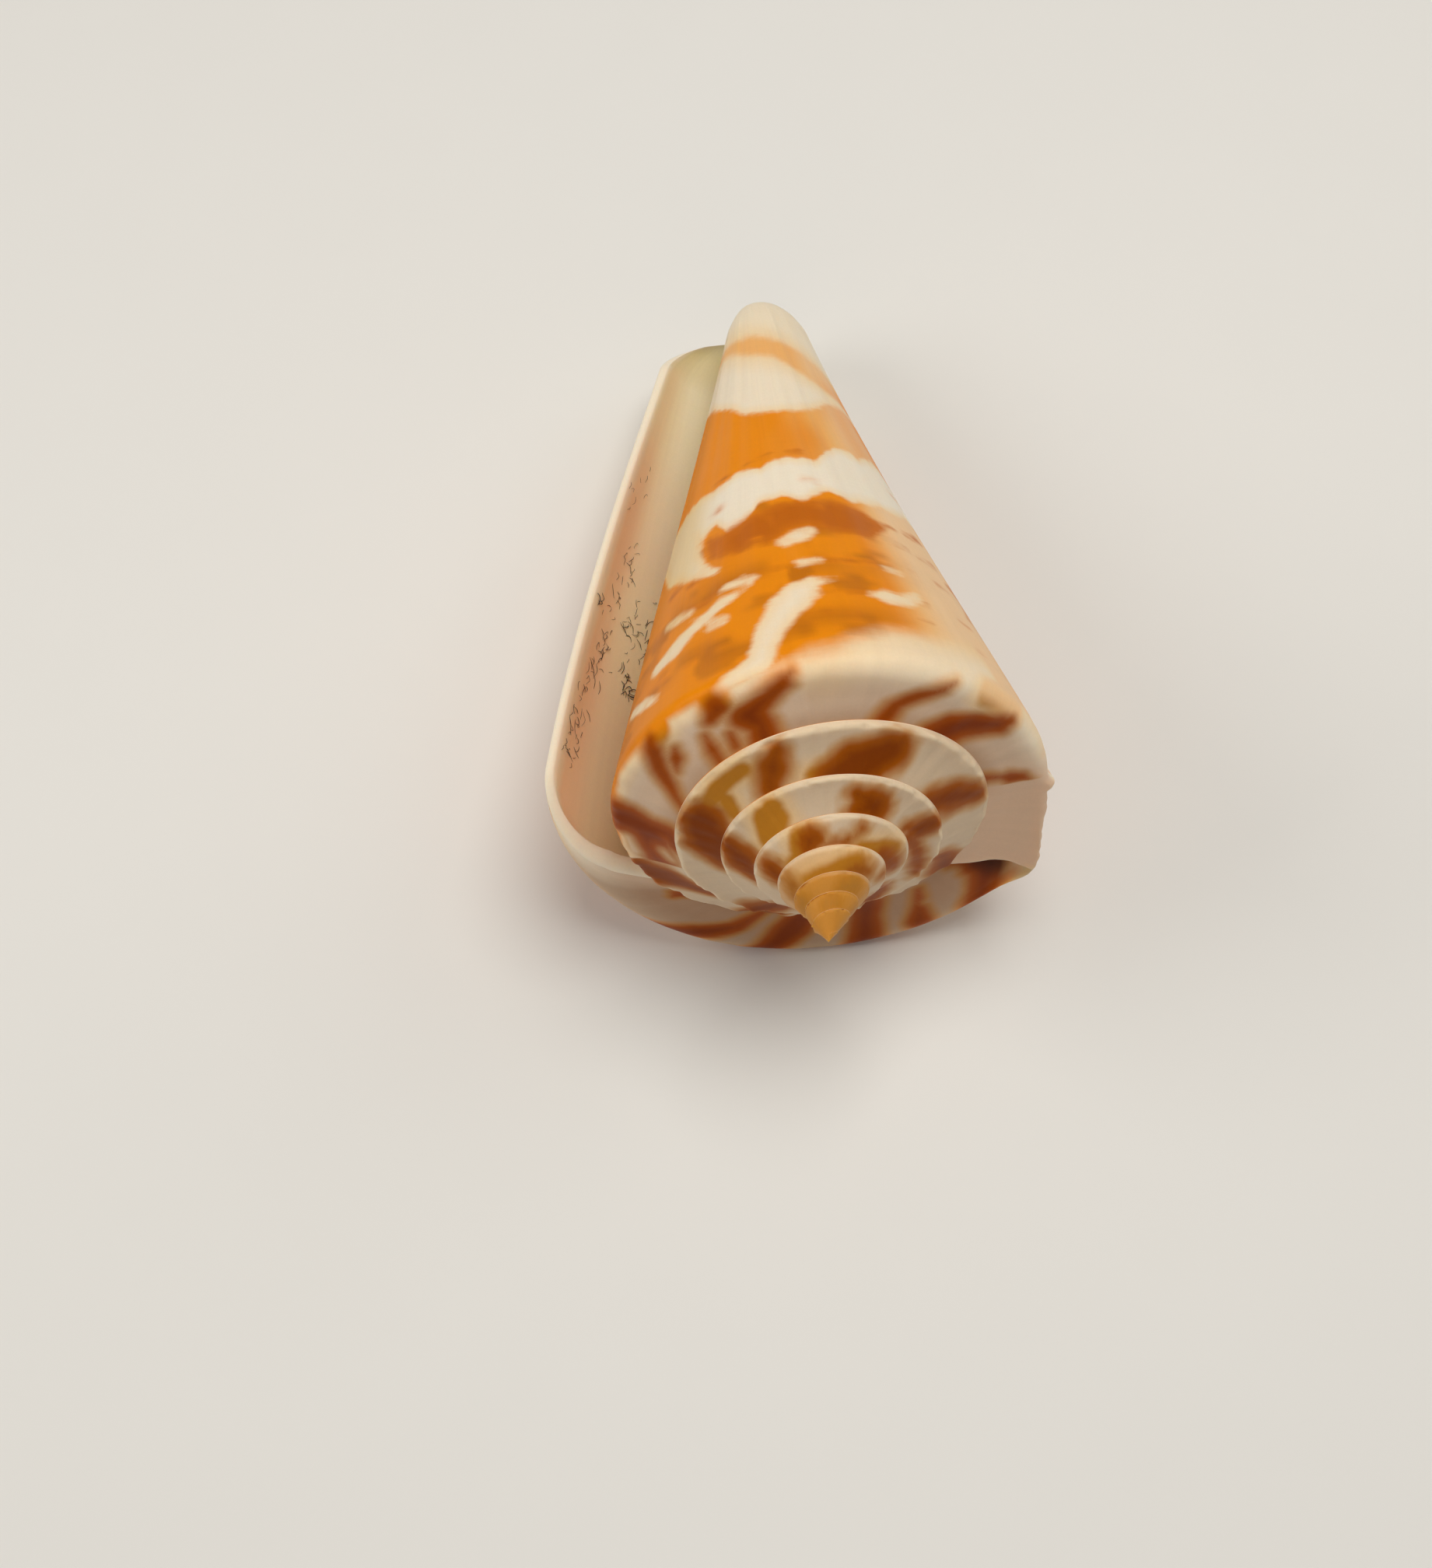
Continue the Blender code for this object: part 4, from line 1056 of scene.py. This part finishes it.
def makeLint():
    # Each fibre is an arc of a few points on the inner wall, and a tube of five sides is carried along it,
    # thinner towards both ends. All fibres are worked out together.
    size = lintSizes
    rng = np.random.default_rng(size["seed"])
    groups = np.array(size["groups"])
    which = np.repeat(np.arange(len(groups)), groups[:, 4].astype(int))
    count = len(which)
    g = groups[which]
    u0 = g[:, 0] + g[:, 2] * rng.normal(0, 1, count)
    v0 = g[:, 1] + g[:, 3] * rng.normal(0, 1, count)
    length = rng.uniform(*size["length"], count)
    heading = rng.normal(1.35, 0.75, count)       # most lie along the lip
    curl = rng.normal(0, 1.5, count)
    radius = rng.uniform(*size["radius"], count) * g[:, 5]
    lift = rng.uniform(0.0, 0.12, count)

    t = np.linspace(-0.5, 0.5, size["points"])
    angle = heading[:, None] + curl[:, None] * t[None, :]
    step = length[:, None] / (size["points"] - 1)
    alongLip = np.cumsum(np.sin(angle) * step, axis=1)
    acrossLip = np.cumsum(np.cos(angle) * step, axis=1)
    u = np.clip(u0[:, None] + acrossLip / 80, 0.002, 0.2)
    v = v0[:, None] + alongLip / 34

    def wallPoint(du, dv):
        return layDown(innerSkin(u + du, v + dv))

    centre = wallPoint(0, 0)
    normal = np.cross(wallPoint(1e-4, 0) - centre, wallPoint(0, 1e-3) - centre)
    normal /= np.linalg.norm(normal, axis=-1, keepdims=True)
    inward = layDown(innerSkin(u, v)) - layDown(outerSkin(u, v))
    normal *= np.sign((normal * inward).sum(-1, keepdims=True))
    arch = np.cos(t * pi)[None, :] ** 2
    raised = (radius[:, None] + lift[:, None] * arch) * mm
    centre = centre + normal * raised[..., None]

    along = np.gradient(centre, axis=1)
    along /= np.linalg.norm(along, axis=-1, keepdims=True)
    sideways = np.cross(along, normal)
    sideways /= np.linalg.norm(sideways, axis=-1, keepdims=True)
    turn = np.arange(size["sides"]) * 2 * pi / size["sides"]
    taper = (1 - 0.75 * np.abs(2 * t) ** 3)[None, :, None, None]
    ring = np.cos(turn)[:, None] * normal[:, :, None, :] + np.sin(turn)[:, None] * sideways[:, :, None, :]
    tube = centre[:, :, None, :] + ring * radius[:, None, None, None] * mm * taper

    perFibre = size["points"] * size["sides"]
    base = np.arange(count)[:, None, None] * perFibre
    i = np.arange(size["points"] - 1)[None, :, None] * size["sides"]
    j = np.arange(size["sides"])[None, None, :]
    k = (j + 1) % size["sides"]
    walls = np.stack([base + i + j, base + i + k, base + i + size["sides"] + k, base + i + size["sides"] + j], axis=-1)
    ends = np.arange(size["sides"])
    caps = [base[:, 0] + ends[::-1], base[:, 0] + perFibre - size["sides"] + ends]
    faces = walls.reshape(-1, 4).tolist() + np.concatenate(caps).tolist()

    data = bpy.data.meshes.new("lintFibres")
    data.from_pydata(tube.reshape(-1, 3).tolist(), [], faces)
    mesh = bmesh.new()
    mesh.from_mesh(data)
    bmesh.ops.recalc_face_normals(mesh, faces=mesh.faces[:])
    mesh.to_mesh(data)
    mesh.free()
    data.shade_smooth()
    print("lint fibres:", count)
    return addObject("lintFibres", data)


def cottonLint():
    # Grey cotton lint: matt, a little sheen, unevenly dark where it has gathered dust.
    material = bpy.data.materials.new("cottonLint")
    material.use_nodes = True
    nodes, links = material.node_tree.nodes, material.node_tree.links
    shader = nodes["Principled BSDF"]
    place = addNode(nodes, "ShaderNodeTexCoord").outputs["Object"]
    spots = addNode(nodes, "ShaderNodeTexNoise", Vector=place, Scale=1 / (0.8 * mm), Detail=2.0)
    tones = addNode(nodes, "ShaderNodeValToRGB", Fac=spots.outputs["Fac"])
    tones.color_ramp.elements[0].position = 0.35
    tones.color_ramp.elements[0].color = (*linearColour("#1C1610"), 1)
    tones.color_ramp.elements[1].position = 0.7
    tones.color_ramp.elements[1].color = (*linearColour("#54463A"), 1)
    links.new(tones.outputs["Color"], shader.inputs["Base Color"])
    shader.inputs["Roughness"].default_value = 0.85
    shader.inputs["Sheen Weight"].default_value = 0.2
    return material


# Stage, light and camera. Places are in millimetres in the row frame.
studio = {
    "floorSize": 1600,
    "floorColour": "#E9E7E3",
    "skyColour": "#F6F4F0",
    "lampColour": "#FFFCF6",
    "skyStrength": 0.20,
    # name, place, size, power in watts
    "lights": (
        ("keySoftbox", (45, 35, 285), 180, 0.47),
        ("rightSoftbox", (210, 60, 190), 160, 0.08),
        ("leftSoftbox", (-220, 20, 160), 160, 0.20),
        ("frontFill", (-20, -230, 140), 200, 0.06),
    ),
    "aim": (0, 2, 12),
}
viewpoint = {
    "eye": (-7.595, -52.451, 113.267),
    "look": (-4.16, -12.41, 14.1),
    "roll": math.radians(-1.03),
    "lens": 49.05,  # mm on a 36 mm long side
}


def facing(place, target, roll=0.0):
    # a matrix at place whose -Z looks at target, turned by roll
    direction = Vector(target) - Vector(place)
    turn = direction.to_track_quat("-Z", "Y").to_matrix().to_4x4() @ Matrix.Rotation(roll, 4, "Z")
    return Matrix.Translation(Vector(place) * mm) @ turn


def paleFloor():
    # Painted board: matt and even, with a faint unevenness so that it does not look like paper.
    material = bpy.data.materials.new("paintedBoard")
    material.use_nodes = True
    nodes, links = material.node_tree.nodes, material.node_tree.links
    shader = nodes["Principled BSDF"]
    place = addNode(nodes, "ShaderNodeTexCoord").outputs["Object"]
    spots = addNode(nodes, "ShaderNodeTexNoise", Vector=place, Scale=1 / (6 * mm), Detail=4.0)
    tones = addNode(nodes, "ShaderNodeMix", {"data_type": "RGBA"}, i0=spots.outputs["Fac"])
    pale = np.array(linearColour(studio["floorColour"]))
    tones.inputs[6].default_value = (*(pale * 0.985), 1)
    tones.inputs[7].default_value = (*pale, 1)
    links.new(tones.outputs[2], shader.inputs["Base Color"])
    shader.inputs["Roughness"].default_value = 0.7
    return material


def makeStage():
    half = studio["floorSize"] / 2 * mm
    data = bpy.data.meshes.new("floor")
    data.from_pydata([(-half, -half, 0), (half, -half, 0), (half, half, 0), (-half, half, 0)], [], [(0, 1, 2, 3)])
    floor = addObject("floor", data)
    floor.data.materials.append(paleFloor())
    for name, place, size, power in studio["lights"]:
        lamp = bpy.data.lights.new(name, "AREA")
        lamp.shape = "DISK"
        lamp.size = size * mm
        lamp.energy = power
        lamp.color = linearColour(studio["lampColour"])
        addObject(name, lamp).matrix_world = facing(place, studio["aim"])
    world = bpy.data.worlds.new("studioSky")
    world.use_nodes = True
    sky = world.node_tree.nodes["Background"]
    sky.inputs["Color"].default_value = (*linearColour(studio["skyColour"]), 1)
    sky.inputs["Strength"].default_value = studio["skyStrength"]
    bpy.context.scene.world = world
    bpy.context.scene.view_settings.view_transform = "Standard"


def makeCamera():
    lens = bpy.data.cameras.new("camera")
    lens.lens = viewpoint["lens"]
    lens.sensor_width = 36.0
    lens.clip_start = 0.005
    lens.clip_end = 20.0
    camera = addObject("camera", lens)
    camera.matrix_world = facing(viewpoint["eye"], viewpoint["look"], viewpoint["roll"])
    bpy.context.scene.camera = camera


makeStage()
makeCamera()
print("stage, lights and camera made")

shell = makeShell()
shell.data.materials.append(glossyAragonite())
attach(shell, "root")
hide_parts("shell")
print("shell made")

lint = makeLint()
lint.data.materials.append(cottonLint())
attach(lint, "root")
print("lint made")
